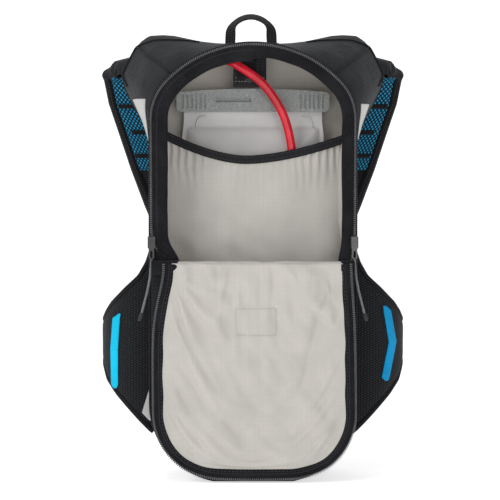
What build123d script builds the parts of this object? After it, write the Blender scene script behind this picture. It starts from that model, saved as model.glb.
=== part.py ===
from build123d import *
import math
import os

# Hydration pack, open, standing on its base. Millimetres, +Z up.
# -Y is the outer face with the zipped flap, +Y is the wearer's side, and the origin is
# at the centre of the base. "Left" is -X, "right" is +X, seen from the outer face.

os.makedirs("parts", exist_ok=True)

# ---------------------------------------------------------------- driving dimensions
HALF_WIDTH = 113.0          # half the width of the bag
BAG_HEIGHT = 483.0          # base to crown of the arched top
SPRING_Z = 400.0            # height where the straight sides turn into the arch
SHOULDER_R = 60.0           # radius of the arch's two shoulders
BASE_CORNER_R = 70.0        # radius of the two lower corners
FRONT_Y = -54.0             # front edge of the side fabric
REAR_Y = 50.0               # rear face of the foam back panel
BACK_FOAM = 12.0            # thickness of the foam back panel
STIFFENER = 2.0             # thickness of the plastic back sheet
WALL = 2.5                  # thickness of the padded side fabric
LINING = 1.0                # thickness of the lining
TAPE = 2.5                  # thickness of the zip tape and its binding
TAPE_WIDTH = 16.0           # width of the black border around the opening
TEETH_WIDTH = 3.0           # width of the zip coil
TEETH_HEIGHT = 1.8          # how far the coil stands off its tape

HINGE_Z = 241.0             # fold line of the flap, the lower end of the zip
HINGE_Y = -66.0             # fold line's place in depth
FLAP_LENGTH = 238.5         # fold line to crown of the flap
FLAP_ROOT_HALF = 90.0       # half the width of the flap at its fold line
FLAP_THICK = 4.4            # outer fabric and lining together

TUBE_R = 5.0                # outer radius of the drink tube
PORT_X = -40.0              # where the tube leaves the bag
PORT_Z = 461.0

STRAP_PIVOT_Y = 80.0        # centre of the shoulder strap's upper bend
STRAP_PIVOT_Z = 440.0
STRAP_BEND_R = 27.0         # radius of that bend, to the middle of the strap
STRAP_RUN_R = 260.0         # radius of the long run below it
STRAP_THICK = 12.0
MESH_THICK = 3.0
STRAP_START = 140.0         # angles from +Y of the strap's start, junction and end
STRAP_JOIN = 10.0
STRAP_END = -28.0

WING_X = 116.0              # centre of the hip wing's bend, seen from above
WING_Y = 83.0
WING_R = 48.0
WING_THICK = 9.0

WEBBING = 2.2               # thickness of strap webbing

# ---------------------------------------------------------------- shared geometry
RISE = BAG_HEIGHT - SPRING_Z
SHOULDER_X = HALF_WIDTH - SHOULDER_R
CROWN_R = (SHOULDER_X**2 + RISE**2 - SHOULDER_R**2) / (2 * (RISE - SHOULDER_R))
CROWN_Z = BAG_HEIGHT - CROWN_R
ARCH_ANGLE = math.degrees(math.atan2(SPRING_Z - CROWN_Z, SHOULDER_X))


def facing(y):
    """The front view's plane at depth y. Sketches read x and z, extrusions go to -Y."""
    return Plane.XZ.offset(-y)


def arch(inset):
    """The bag's front outline, moved in by inset, as lines of the current BuildLine."""
    side = HALF_WIDTH - inset
    corner = BASE_CORNER_R - inset
    low = BASE_CORNER_R
    CenterArc((-SHOULDER_X, SPRING_Z), SHOULDER_R - inset, 180, -ARCH_ANGLE)
    CenterArc((0, CROWN_Z), CROWN_R - inset, 180 - ARCH_ANGLE, 2 * ARCH_ANGLE - 180)
    CenterArc((SHOULDER_X, SPRING_Z), SHOULDER_R - inset, ARCH_ANGLE, -ARCH_ANGLE)
    Line((side, SPRING_Z), (side, low))
    CenterArc((side - corner, low), corner, 0, -90)
    Line((side - corner, inset), (corner - side, inset))
    CenterArc((corner - side, low), corner, 270, -90)
    Line((-side, low), (-side, SPRING_Z))


def arch_face(inset, mode=Mode.ADD):
    with BuildLine() as outline:
        arch(inset)
    make_face(outline.edges(), mode=mode)


def keep_box(x_low, x_high, y_low, y_high, z_low, z_high):
    """Cut the current part down to a box."""
    centre = ((x_low + x_high) / 2, (y_low + y_high) / 2, (z_low + z_high) / 2)
    with Locations(centre):
        Box(x_high - x_low, y_high - y_low, z_high - z_low, mode=Mode.INTERSECT)


def block(x_low, x_high, y_low, y_high, z_low, z_high, mode=Mode.ADD):
    """Add a box to the current part by its corners."""
    centre = ((x_low + x_high) / 2, (y_low + y_high) / 2, (z_low + z_high) / 2)
    with Locations(centre):
        Box(x_high - x_low, y_high - y_low, z_high - z_low, mode=mode)


def save(part, name):
    part.label = name
    export_step(part, f"parts/{name}.step")


def save_pair(part, name):
    """Write a left-hand part, and its mirror image as the right-hand one."""
    save(part, f"{name}_left")
    save(mirror(part, about=Plane.YZ), f"{name}_right")


# ---------------------------------------------------------------- bag shell
LINING_Y = REAR_Y - BACK_FOAM - STIFFENER       # rear face of the lining
PORT_HOLE_R = 9.5


def port_hole():
    with Locations(Location((PORT_X, REAR_Y, PORT_Z), (90, 0, 0))):
        Cylinder(PORT_HOLE_R, 60, mode=Mode.SUBTRACT)


def make_back():
    with BuildPart() as panel:
        with BuildSketch(facing(REAR_Y)):
            arch_face(0)
        extrude(amount=BACK_FOAM)
        port_hole()
    save(panel.part, "back_panel")

    with BuildPart() as stiffener:
        with BuildSketch(facing(REAR_Y - BACK_FOAM)):
            arch_face(6)
        extrude(amount=STIFFENER)
        port_hole()
    save(stiffener.part, "back_stiffener")


def make_back_pads():
    pad_thick = 7.0
    column_low, column_high = 150.0, 400.0
    with BuildPart() as pads:
        with BuildSketch(facing(REAR_Y + pad_thick)):
            with Locations((-52, (column_low + column_high) / 2), (52, (column_low + column_high) / 2)):
                RectangleRounded(66, column_high - column_low, 20)
            with Locations((0, 86)):
                RectangleRounded(170, 92, 24)
        extrude(amount=pad_thick)
        fillet(pads.faces().sort_by(Axis.Y)[-3:].edges(), radius=3)
    save(pads.part, "back_pads")


def gusset(x_low, x_high, z_low, z_high):
    """A length of the fabric ring that joins the back panel to the front."""
    with BuildPart() as ring:
        with BuildSketch(facing(REAR_Y - BACK_FOAM)):
            arch_face(0)
            arch_face(WALL, mode=Mode.SUBTRACT)
        extrude(amount=REAR_Y - BACK_FOAM - FRONT_Y)
        keep_box(x_low, x_high, FRONT_Y, REAR_Y, z_low, z_high)
    return ring.part


def make_shell():
    far = HALF_WIDTH + 10
    save(gusset(-far, far, SPRING_Z, BAG_HEIGHT + 10), "top_panel")
    save(gusset(-far, far, -10, BASE_CORNER_R), "base_panel")
    save_pair(gusset(-far, 0, BASE_CORNER_R, SPRING_Z), "side_panel")

    with BuildPart() as front:
        with BuildSketch(facing(FRONT_Y)):
            arch_face(0)
        extrude(amount=TAPE)
        keep_box(-far, far, FRONT_Y - TAPE, FRONT_Y, -10, HINGE_Z)
    save(front.part, "lower_front_panel")

    with BuildPart() as lining:
        with BuildSketch(facing(LINING_Y)):
            arch_face(WALL)
        extrude(amount=LINING_Y - FRONT_Y)
        with BuildSketch(facing(LINING_Y - LINING)):
            arch_face(WALL + LINING)
        extrude(amount=LINING_Y - LINING - FRONT_Y, mode=Mode.SUBTRACT)
        port_hole()
    save(lining.part, "lining")


def make_body_zip():
    far = HALF_WIDTH + 10
    with BuildPart() as tape:
        with BuildSketch(facing(FRONT_Y)):
            arch_face(0)
            arch_face(TAPE_WIDTH, mode=Mode.SUBTRACT)
        extrude(amount=TAPE)
        keep_box(-far, far, FRONT_Y - TAPE, FRONT_Y, HINGE_Z, BAG_HEIGHT + 10)
    save(tape.part, "zip_tape_body")

    teeth_y = FRONT_Y - TAPE
    with BuildPart() as teeth:
        with BuildSketch(facing(teeth_y)):
            arch_face(0)
            arch_face(TEETH_WIDTH, mode=Mode.SUBTRACT)
        extrude(amount=TEETH_HEIGHT)
        keep_box(-far, far, teeth_y - TEETH_HEIGHT, teeth_y, HINGE_Z + 4, BAG_HEIGHT + 10)
    save(teeth.part, "zip_teeth_body")


# ---------------------------------------------------------------- front flap
def flap_outline(inset):
    """The flap hanging open: the arch upside down, with a narrower root."""
    half = HALF_WIDTH - inset
    shoulder = SHOULDER_R - inset
    crown_centre = HINGE_Z - FLAP_LENGTH + CROWN_R
    spring = crown_centre - (SPRING_Z - CROWN_Z)
    root_low = HINGE_Z - 13
    wide_low = HINGE_Z - 40
    Line((-FLAP_ROOT_HALF + inset, HINGE_Z), (-FLAP_ROOT_HALF + inset, root_low))
    Line((-FLAP_ROOT_HALF + inset, root_low), (-half, wide_low))
    Line((-half, wide_low), (-half, spring))
    CenterArc((-SHOULDER_X, spring), shoulder, 180, ARCH_ANGLE)
    CenterArc((0, crown_centre), CROWN_R - inset, 180 + ARCH_ANGLE, 180 - 2 * ARCH_ANGLE)
    CenterArc((SHOULDER_X, spring), shoulder, -ARCH_ANGLE, ARCH_ANGLE)
    Line((half, spring), (half, wide_low))
    Line((half, wide_low), (FLAP_ROOT_HALF - inset, root_low))
    Line((FLAP_ROOT_HALF - inset, root_low), (FLAP_ROOT_HALF - inset, HINGE_Z))
    Line((FLAP_ROOT_HALF - inset, HINGE_Z), (-FLAP_ROOT_HALF + inset, HINGE_Z))


def flap_face(inset, mode=Mode.ADD):
    with BuildLine() as outline:
        flap_outline(inset)
    make_face(outline.edges(), mode=mode)


def flap_layer(y_rear, thick, inset, hole_inset=None):
    with BuildPart() as layer:
        with BuildSketch(facing(y_rear)):
            flap_face(inset)
            if hole_inset is not None:
                flap_face(hole_inset, mode=Mode.SUBTRACT)
        extrude(amount=thick)
    return layer.part


def make_flap():
    rear = HINGE_Y + FLAP_THICK / 2
    shell_thick = 2.4
    lining_thick = 1.0
    save(flap_layer(rear, shell_thick, 0), "flap_shell")
    save(flap_layer(rear - shell_thick, lining_thick, TAPE_WIDTH), "flap_lining")
    tape_rear = rear - shell_thick
    save(flap_layer(tape_rear, lining_thick, TEETH_WIDTH, TAPE_WIDTH), "flap_zip_tape")
    save(flap_layer(tape_rear, lining_thick + 1.0, 0, TEETH_WIDTH), "flap_zip_teeth")


# ---------------------------------------------------------------- zip sliders
SLIDER_Z = 258.0
SLIDER_HEIGHT = 13.0
SLIDER_CLEAR = 0.35


def make_slider():
    teeth_out = -HALF_WIDTH
    teeth_in = teeth_out + TEETH_WIDTH
    tape_y = FRONT_Y - TAPE
    plate_y = tape_y - TEETH_HEIGHT - SLIDER_CLEAR
    cover = 1.6
    flange = 2.4
    x_low = teeth_out - SLIDER_CLEAR - flange
    x_high = teeth_in + SLIDER_CLEAR + flange
    z_high = SLIDER_Z + SLIDER_HEIGHT
    with BuildPart() as slider:
        block(x_low, x_high, plate_y - cover, plate_y, SLIDER_Z, z_high)
        block(x_low, x_low + flange, plate_y, tape_y - SLIDER_CLEAR, SLIDER_Z, z_high)
        block(x_high - flange, x_high, plate_y, tape_y - SLIDER_CLEAR, SLIDER_Z, z_high)
        fillet(slider.faces().sort_by(Axis.Y)[0].edges().filter_by(Axis.Z), radius=1.0)
    save_pair(slider.part, "zip_slider")
    return plate_y - cover


PULL_ROUTE = [
    (-111.5, 246.0),
    (-112.5, 230.0),
    (-115.5, 213.0),
    (-119.5, 198.0),
    (-123.0, 184.0),
]
PULL_CORD_R = 1.3
PULL_AXIS_Z = 264.0


def arc_radii(points):
    """0.45 of the shorter run beside each corner, divided by the tangent of half the turn."""
    radii = []
    for before, here, after in zip(points, points[1:], points[2:]):
        run_in = Vector(*here) - Vector(*before)
        run_out = Vector(*after) - Vector(*here)
        half_turn = math.radians(run_in.get_angle(run_out)) / 2
        radii.append(0.45 * min(run_in.length, run_out.length) / math.tan(half_turn))
    return radii


def tube(points, radius):
    """A round tube along straight runs joined by tangent arcs."""
    radii = arc_radii(points)
    with BuildPart() as body:
        with BuildLine() as path:
            FilletPolyline(*points, radius=radii)
        with BuildSketch(Plane(origin=points[0], z_dir=path.wires()[0] % 0)):
            Circle(radius)
        sweep()
    return body.part


def make_pull(front_y):
    tab_low = 246.5
    tab_high = PULL_AXIS_Z + 0.3
    tab_y = front_y - 0.3
    tab_thick = 1.5
    with BuildPart() as tab:
        with BuildSketch(facing(tab_y)):
            with Locations((-111.5, (tab_low + tab_high) / 2)):
                RectangleRounded(6.0, tab_high - tab_low, 2.0)
            with Locations((-111.5, tab_low + 5.0)):
                SlotOverall(8.0, 2.6, rotation=90, mode=Mode.SUBTRACT)
        extrude(amount=tab_thick)
    save_pair(tab.part, "zip_pull")

    cord_y = tab_y - tab_thick / 2
    route = [(x, cord_y, z) for x, z in PULL_ROUTE]
    save_pair(tube(route, PULL_CORD_R), "pull_cord")


# ---------------------------------------------------------------- inside the bag
BLADDER_FRONT_Y = 12.0
BLADDER_REAR_Y = 34.0
BLADDER_HALF = 80.0
CLIP_Z = 408.0
SLEEVE_Y = -6.0
SLEEVE_HALF = HALF_WIDTH - WALL - LINING


def make_bladder():
    low, high = 95.0, 401.0
    middle_y = (BLADDER_FRONT_Y + BLADDER_REAR_Y) / 2
    lip_thick = 3.0
    with BuildPart() as bladder:
        with BuildSketch(facing(BLADDER_REAR_Y)):
            with Locations((0, (low + high) / 2)):
                RectangleRounded(2 * BLADDER_HALF, high - low, 22)
        extrude(amount=BLADDER_REAR_Y - BLADDER_FRONT_Y)
        fillet(bladder.faces().sort_by(Axis.Y)[0].edges(), radius=8)
        fillet(bladder.faces().sort_by(Axis.Y)[-1].edges(), radius=8)
        lip_low = middle_y - lip_thick / 2
        block(-BLADDER_HALF + 2, BLADDER_HALF - 2, lip_low, lip_low + lip_thick, high - 6, CLIP_Z + 14)
    save(bladder.part, "bladder")

    slot = lip_thick + 0.8
    clip_half = 86.0
    clip_high = 430.0
    clip_rise = 4.0
    clip_front = middle_y - 9.0
    with BuildPart() as clip:
        with BuildSketch(facing(middle_y + 9.0)):
            with BuildLine():
                Line((-clip_half, CLIP_Z), (clip_half, CLIP_Z))
                Line((clip_half, CLIP_Z), (clip_half, clip_high))
                ThreePointArc((clip_half, clip_high), (0, clip_high + clip_rise), (-clip_half, clip_high))
                Line((-clip_half, clip_high), (-clip_half, CLIP_Z))
            make_face()
        extrude(amount=18.0)
        fillet(clip.edges().filter_by(Axis.Y), radius=6)
        block(-100, 100, middle_y - slot / 2, middle_y + slot / 2, CLIP_Z - 1, CLIP_Z + 15,
              mode=Mode.SUBTRACT)
        block(-42, -2, clip_front - 1, clip_front + 3, 419, 424, mode=Mode.SUBTRACT)
        for side in (-1, 1):
            for rib in range(6):
                groove_x = side * (54 + 5 * rib)
                block(groove_x - 1.1, groove_x + 1.1, clip_front - 1, clip_front + 1.6, 412, 427,
                      mode=Mode.SUBTRACT)
    save(clip.part, "slide_clip")


def make_sleeve():
    end_z, middle_z = 382.0, 362.0
    thick = 2.0
    band = 9.0
    above = 490.0
    with BuildPart() as sleeve:
        with BuildSketch(facing(SLEEVE_Y)):
            arch_face(WALL + LINING)
            with BuildLine():
                ThreePointArc((-SLEEVE_HALF, end_z), (0, middle_z), (SLEEVE_HALF, end_z))
                Polyline((SLEEVE_HALF, end_z), (SLEEVE_HALF, above), (-SLEEVE_HALF, above),
                         (-SLEEVE_HALF, end_z))
            make_face(mode=Mode.SUBTRACT)
        extrude(amount=thick)
    save(sleeve.part, "bladder_sleeve")

    with BuildPart() as elastic:
        with BuildSketch(facing(SLEEVE_Y - thick)):
            with BuildLine():
                ThreePointArc((-SLEEVE_HALF, end_z), (0, middle_z), (SLEEVE_HALF, end_z))
                Line((SLEEVE_HALF, end_z), (SLEEVE_HALF, end_z - band))
                ThreePointArc((SLEEVE_HALF, end_z - band), (0, middle_z - band),
                              (-SLEEVE_HALF, end_z - band))
                Line((-SLEEVE_HALF, end_z - band), (-SLEEVE_HALF, end_z))
            make_face()
        extrude(amount=thick)
    save(elastic.part, "sleeve_elastic")


def make_hanger():
    strap_x_low, strap_x_high = -22.0, 15.0
    with BuildPart() as strap:
        block(strap_x_low, strap_x_high, 9.5, 11.5, 436, 472)
    save(strap.part, "hang_strap")
    with BuildPart() as hook:
        block(-12, 4, 11.5, 14.5, 436, 450)
        block(-12, 4, 14.5, 24, 436, 440)
        with Locations(Location((-4, 8.4, 445), (90, 0, 0))):
            Cylinder(4.5, 2.2)
    save(hook.part, "hang_hook")


OUTLET_X = 42.0
OUTLET_Z = 140.0
TUBE_Y = 2.5
TUBE_ROUTE = [
    (OUTLET_X, TUBE_Y, 166.0),
    (43.5, TUBE_Y, 215.0),
    (46.5, TUBE_Y, 268.0),
    (47.0, TUBE_Y + 0.3, 322.0),
    (44.0, TUBE_Y, 368.0),
    (35.5, 1.5, 405.0),
    (14.5, 0.5, 437.0),
    (-2.0, 0.5, 450.5),
    (-27.0, 0.5, 466.0),
    (-41.0, 22.0, 466.5),
    (PORT_X, 40.0, PORT_Z),
    (PORT_X - 0.5, 62.0, PORT_Z - 1),
]


def make_outlet():
    with BuildPart() as outlet:
        with Locations(Location((OUTLET_X, 9.5, OUTLET_Z), (90, 0, 0))):
            Cylinder(17, 5)
        with Locations(Location((OUTLET_X, TUBE_Y + 2, OUTLET_Z), (90, 0, 0))):
            Cylinder(7, 10)
        with Locations((OUTLET_X, TUBE_Y, OUTLET_Z + 12.9)):
            Cylinder(4, 25.8)
        with Locations((OUTLET_X, TUBE_Y, OUTLET_Z + 18)):
            Cylinder(6, 6)
    save(outlet.part, "bladder_outlet")


def make_tube_and_port():
    save(tube(TUBE_ROUTE, TUBE_R), "drink_tube")
    with BuildPart() as port:
        with Locations(Location((PORT_X, REAR_Y + 1.5, PORT_Z), (90, 0, 0))):
            Cylinder(14, 3)
        with Locations(Location((PORT_X, REAR_Y - 6, PORT_Z), (90, 0, 0))):
            Cylinder(PORT_HOLE_R, 12)
        with Locations(Location((PORT_X, REAR_Y, PORT_Z), (90, 0, 0))):
            Cylinder(TUBE_R + 2.0, 60, mode=Mode.SUBTRACT)
    save(port.part, "hose_port")


# ---------------------------------------------------------------- haul loop
LOOP_AXIS_Z = 490.0


def loop_outline(half, high):
    """A pointed arch of webbing, from the loop's pivot up."""
    Line((-half, LOOP_AXIS_Z - 2.5), (-half, LOOP_AXIS_Z + 4))
    ThreePointArc((-half, LOOP_AXIS_Z + 4), (0, high), (half, LOOP_AXIS_Z + 4))
    Line((half, LOOP_AXIS_Z + 4), (half, LOOP_AXIS_Z - 2.5))
    Line((half, LOOP_AXIS_Z - 2.5), (-half, LOOP_AXIS_Z - 2.5))


def make_haul_loop():
    loop_y = 27.0
    with BuildPart() as loop:
        with BuildSketch(facing(loop_y + 2.5)):
            with BuildLine():
                loop_outline(28.5, 518.0)
            make_face()
            with BuildLine():
                loop_outline(17.5, 512.0)
            make_face(mode=Mode.SUBTRACT)
        extrude(amount=5.0)
    save(loop.part, "haul_loop")

    with BuildPart() as anchor:
        for side in (-1, 1):
            x_low = side * 23 - 6.5
            block(x_low, x_low + 13, loop_y - 2, loop_y + 2, 478, LOOP_AXIS_Z - 4.5)
        with BuildSketch(facing(loop_y + 10)):
            arch_face(0)
        extrude(amount=20, mode=Mode.SUBTRACT)
    save(anchor.part, "haul_anchor")


# ---------------------------------------------------------------- shoulder yokes
YOKE_POINTS = [
    (-59.0, 486.0),
    (-87.0, 493.0),
    (-117.0, 493.0),
    (-130.0, 480.0),
    (-145.0, 452.0),
    (-134.0, 420.0),
    (-HALF_WIDTH, 378.0),
    (-60.0, 400.0),
]


def make_yoke():
    slope_start = (-92.0, FRONT_Y + 8, 0.0)
    slope = Plane(origin=slope_start, x_dir=(-50, 84, 0), z_dir=(84, 50, 0))
    with BuildPart() as yoke:
        with BuildSketch(facing(REAR_Y)):
            with BuildLine():
                Polyline(*YOKE_POINTS, close=True)
            make_face()
            arch_face(0, mode=Mode.SUBTRACT)
        extrude(amount=REAR_Y - FRONT_Y - 8)
        split(bisect_by=slope, keep=Keep.TOP)
    save_pair(yoke.part, "yoke")

    patch_thick = 1.2
    with BuildPart() as patch:
        with BuildSketch(slope):
            with BuildLine():
                Polyline((77, 418.5), (49, 421), (45, 404), (44.5, 387), close=True)
            make_face()
        extrude(amount=-patch_thick)
    save_pair(patch.part, "reflective_patch")


# ---------------------------------------------------------------- shoulder straps
JOIN_Y = STRAP_PIVOT_Y + STRAP_BEND_R * math.cos(math.radians(STRAP_JOIN))
JOIN_Z = STRAP_PIVOT_Z + STRAP_BEND_R * math.sin(math.radians(STRAP_JOIN))
RUN_Y = JOIN_Y - STRAP_RUN_R * math.cos(math.radians(STRAP_JOIN))
RUN_Z = JOIN_Z - STRAP_RUN_R * math.sin(math.radians(STRAP_JOIN))
STRAP_OUTLINE = [
    (-130.0, 482.0),
    (-150.0, 472.0),
    (-167.0, 458.0),
    (-160.0, 418.0),
    (-150.0, 387.0),
    (-135.0, 341.0),
    (-120.0, 301.0),
    (-107.0, 270.0),
    (-57.0, 270.0),
    (-60.0, 310.0),
    (-72.0, 360.0),
    (-82.0, 410.0),
    (-86.0, 482.0),
]


def polar(centre_y, centre_z, radius, angle):
    turn = math.radians(angle)
    return (centre_y + radius * math.cos(turn), centre_z + radius * math.sin(turn))


def strap_band(middle, thick, start, end, outline, trim=0.0):
    """A layer of the strap: its side profile, cut to its front outline less trim."""
    low, high = middle - thick / 2, middle + thick / 2
    bend = (STRAP_PIVOT_Y, STRAP_PIVOT_Z)
    run = (RUN_Y, RUN_Z)
    with BuildPart() as band:
        with BuildSketch(Plane.YZ):
            with BuildLine():
                CenterArc(bend, STRAP_BEND_R + high, start, STRAP_JOIN - start)
                CenterArc(run, STRAP_RUN_R + high, STRAP_JOIN, end - STRAP_JOIN)
                Line(polar(*run, STRAP_RUN_R + high, end), polar(*run, STRAP_RUN_R + low, end))
                CenterArc(run, STRAP_RUN_R + low, end, STRAP_JOIN - end)
                CenterArc(bend, STRAP_BEND_R + low, STRAP_JOIN, start - STRAP_JOIN)
                Line(polar(*bend, STRAP_BEND_R + low, start), polar(*bend, STRAP_BEND_R + high, start))
            make_face()
        extrude(amount=-200)
        with BuildSketch(facing(200)):
            with BuildLine():
                Polyline(*outline, close=True)
            make_face()
            if trim:
                offset(amount=-trim, kind=Kind.INTERSECTION, mode=Mode.REPLACE)
        extrude(amount=200, mode=Mode.INTERSECT)
    return band.part


def strap_point(middle, angle, x):
    """A point over the strap: angle above the junction is on the bend, below it on the run."""
    if angle > STRAP_JOIN:
        y, z = polar(STRAP_PIVOT_Y, STRAP_PIVOT_Z, STRAP_BEND_R + middle, angle)
    else:
        y, z = polar(RUN_Y, RUN_Z, STRAP_RUN_R + middle, angle)
    return (x, y, z)


def make_strap_pads():
    save_pair(strap_band(0, STRAP_THICK, STRAP_START, STRAP_END, STRAP_OUTLINE), "strap_pad")
    mesh_middle = -(STRAP_THICK + MESH_THICK) / 2
    mesh = strap_band(mesh_middle, MESH_THICK, 105.0, STRAP_END + 1, STRAP_OUTLINE, trim=6.0)
    save_pair(mesh, "strap_mesh")


LOCK_TOP = 273.0
LOCK_HEIGHT = 30.0


def make_strap_hardware():
    lock_y = strap_point(0, STRAP_END, 0)[1]
    lock_x = -82.0
    lock_low = LOCK_TOP - LOCK_HEIGHT
    with BuildPart() as lock:
        block(lock_x - 17, lock_x + 17, lock_y - 3, lock_y + 3, lock_low, LOCK_TOP)
        fillet(lock.edges().filter_by(Axis.Y), radius=4)
        for slot_z in (lock_low + 6, lock_low + 15):
            block(lock_x - 12.5, lock_x + 12.5, lock_y - 4, lock_y + 4, slot_z, slot_z + 4.4,
                  mode=Mode.SUBTRACT)
    save_pair(lock.part, "ladder_lock")

    web_top = lock_low - 3
    with BuildPart() as web:
        with BuildSketch(Plane.YZ.offset(lock_x - 12)):
            with BuildLine():
                Polyline(
                    (REAR_Y, 14.0), (REAR_Y + WEBBING, 14.0), (REAR_Y + 10 + WEBBING, 36.0),
                    (lock_y + WEBBING / 2, web_top), (lock_y - WEBBING / 2, web_top),
                    (REAR_Y + 10, 36.0 + WEBBING), (REAR_Y, 16.0), close=True)
            make_face()
        extrude(amount=24)
    save_pair(web.part, "lower_webbing")

    sternum_z = 398.0
    outer_y = strap_point(STRAP_THICK / 2, 0, 0)[1]
    with BuildPart() as sternum:
        block(-104, -40, outer_y + 0.2, outer_y + 0.2 + WEBBING, sternum_z - 10, sternum_z + 10)
    save_pair(sternum.part, "sternum_webbing")
    make_buckle("sternum", outer_y + 0.2 + WEBBING / 2, sternum_z, 24.0, 40.0, 7.0)


def make_buckle(prefix, y, z, height, half_gap, thick):
    """A side-release buckle, unclipped: a socket on the left and a plug on the right."""
    length = 26.0
    mouth = -half_gap + length
    wall = 1.4
    with BuildPart() as socket:
        block(-half_gap, mouth, y - thick / 2, y + thick / 2, z - height / 2, z + height / 2)
        fillet(socket.edges().filter_by(Axis.Y).group_by(Axis.X)[0], radius=4)
        block(mouth - 18, mouth + 1, y - thick / 2 + wall, y + thick / 2 - wall,
              z - height / 2 + 3, z + height / 2 - 3, mode=Mode.SUBTRACT)
    save(socket.part, f"{prefix}_socket")

    prong = thick - 2 * wall - 1.0
    root = half_gap - 12
    with BuildPart() as plug:
        block(root, half_gap, y - thick / 2, y + thick / 2, z - height / 2, z + height / 2)
        fillet(plug.edges().filter_by(Axis.Y).group_by(Axis.X)[-1], radius=4)
        for low in (z - height / 2 + 4, z - 1.5, z + height / 2 - 7):
            block(root - 18, root, y - prong / 2, y + prong / 2, low, low + 3)
    save(plug.part, f"{prefix}_plug")


def make_strap_tube():
    over = STRAP_THICK / 2 + TUBE_R + 2.0
    route = [
        strap_point(over, 62, -104.0),
        strap_point(over, 34, -113.0),
        strap_point(over, 7, -117.0),
        strap_point(over, -1, -114.0),
        strap_point(over + 0.5, -9, -106.5),
        strap_point(over + 3.0, -16.5, -98.0),
    ]
    save(tube(route, TUBE_R), "strap_tube")

    end = Vector(*route[-1])
    before = Vector(*route[-2])
    axis = (end - before).normalized()
    start = end + axis * 0.2
    plane = Plane(origin=start, z_dir=axis)
    with BuildPart() as body:
        with BuildSketch(plane):
            Circle(7.0)
        extrude(amount=20)
        with BuildSketch(plane.offset(20)):
            Circle(5.0)
        extrude(amount=5)
    save(body.part, "valve_body")
    with BuildPart() as tip:
        with BuildSketch(plane.offset(25.4)):
            Circle(7.5)
        extrude(amount=17, taper=8)
        fillet(tip.faces().sort_by(Axis.Z)[0].edges(), radius=2)
    save(tip.part, "bite_valve")

    keeper_r = TUBE_R + 0.3
    with BuildPart() as keepers:
        for first, last in ((2, 3), (4, 5)):
            a, b = Vector(*route[first]), Vector(*route[last])
            centre = a + (b - a) * 0.5
            with BuildSketch(Plane(origin=centre, z_dir=b - a)):
                Circle(keeper_r + 1.6)
                Circle(keeper_r, mode=Mode.SUBTRACT)
            extrude(amount=6, both=True)
    save(keepers.part, "tube_keepers")


# ---------------------------------------------------------------- hip wings
WING_OUTLINE = [
    (-100.0, 276.0),
    (-112.0, 248.0),
    (-125.0, 224.0),
    (-156.0, 191.0),
    (-166.0, 172.0),
    (-172.0, 154.0),
    (-168.0, 130.0),
    (-162.0, 111.0),
    (-150.0, 96.0),
    (-125.0, 69.0),
    (-100.0, 48.0),
]
WING_START = 267.0
WING_END = 150.0
BELT_Z = 148.0


def wing_band(inner, outer, start, end, outline):
    with BuildPart() as band:
        with BuildSketch(Plane.XY.offset(30)):
            with BuildLine():
                centre = (-WING_X, WING_Y)
                CenterArc(centre, outer, start, end - start)
                Line(polar(*centre, outer, end), polar(*centre, inner, end))
                CenterArc(centre, inner, end, start - end)
                Line(polar(*centre, inner, start), polar(*centre, outer, start))
            make_face()
        extrude(amount=260)
        with BuildSketch(facing(200)):
            with BuildLine():
                Polyline(*outline, close=True)
            make_face()
        extrude(amount=200, mode=Mode.INTERSECT)
    return band.part


def make_wings():
    half = WING_THICK / 2
    save_pair(wing_band(WING_R - half, WING_R + half, WING_START, WING_END, WING_OUTLINE), "wing_pad")
    stripe_outline = [
        (-143.0, 190.0),
        (-151.0, 184.0),
        (-157.0, 148.0),
        (-149.0, 104.0),
        (-141.0, 108.0),
        (-149.0, 148.0),
    ]
    stripe = wing_band(WING_R + half, WING_R + half + 1.0, WING_START, 190.0, stripe_outline)
    save_pair(stripe, "wing_stripe")

    belt_y = 112.0
    with BuildPart() as belt:
        block(-152, -44, belt_y - WEBBING / 2, belt_y + WEBBING / 2, BELT_Z - 12.5, BELT_Z + 12.5)
        block(-158.5, -152, belt_y - WEBBING / 2, belt_y + WEBBING / 2, BELT_Z - 12.5, BELT_Z + 12.5)
    save_pair(belt.part, "belt_webbing")
    make_buckle("belt", belt_y, BELT_Z, 34.0, 44.0, 8.0)


# ---------------------------------------------------------------- build everything
make_back()
make_back_pads()
make_shell()
make_body_zip()
make_flap()
slider_front = make_slider()
make_pull(slider_front)
make_bladder()
make_sleeve()
make_hanger()
make_outlet()
make_tube_and_port()
make_haul_loop()
make_yoke()
make_strap_pads()
make_strap_hardware()
make_strap_tube()
make_wings()
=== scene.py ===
import math

import bpy
import numpy as np
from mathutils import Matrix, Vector, noise


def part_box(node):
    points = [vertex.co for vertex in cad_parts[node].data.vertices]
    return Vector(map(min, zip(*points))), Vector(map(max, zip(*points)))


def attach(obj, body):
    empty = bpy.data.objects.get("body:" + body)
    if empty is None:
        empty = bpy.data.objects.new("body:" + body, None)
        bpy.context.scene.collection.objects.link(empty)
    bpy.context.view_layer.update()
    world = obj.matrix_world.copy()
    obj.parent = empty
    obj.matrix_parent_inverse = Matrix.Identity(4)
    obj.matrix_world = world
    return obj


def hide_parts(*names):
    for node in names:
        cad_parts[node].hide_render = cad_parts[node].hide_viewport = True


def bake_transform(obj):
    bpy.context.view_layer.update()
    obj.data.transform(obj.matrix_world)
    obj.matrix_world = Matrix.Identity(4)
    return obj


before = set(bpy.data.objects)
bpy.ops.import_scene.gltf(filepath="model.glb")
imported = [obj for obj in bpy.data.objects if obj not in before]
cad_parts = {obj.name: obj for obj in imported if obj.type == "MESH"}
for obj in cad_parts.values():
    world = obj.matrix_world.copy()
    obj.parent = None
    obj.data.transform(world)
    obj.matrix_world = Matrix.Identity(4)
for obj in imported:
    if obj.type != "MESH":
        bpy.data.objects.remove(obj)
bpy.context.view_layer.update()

MM = 0.001

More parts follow.
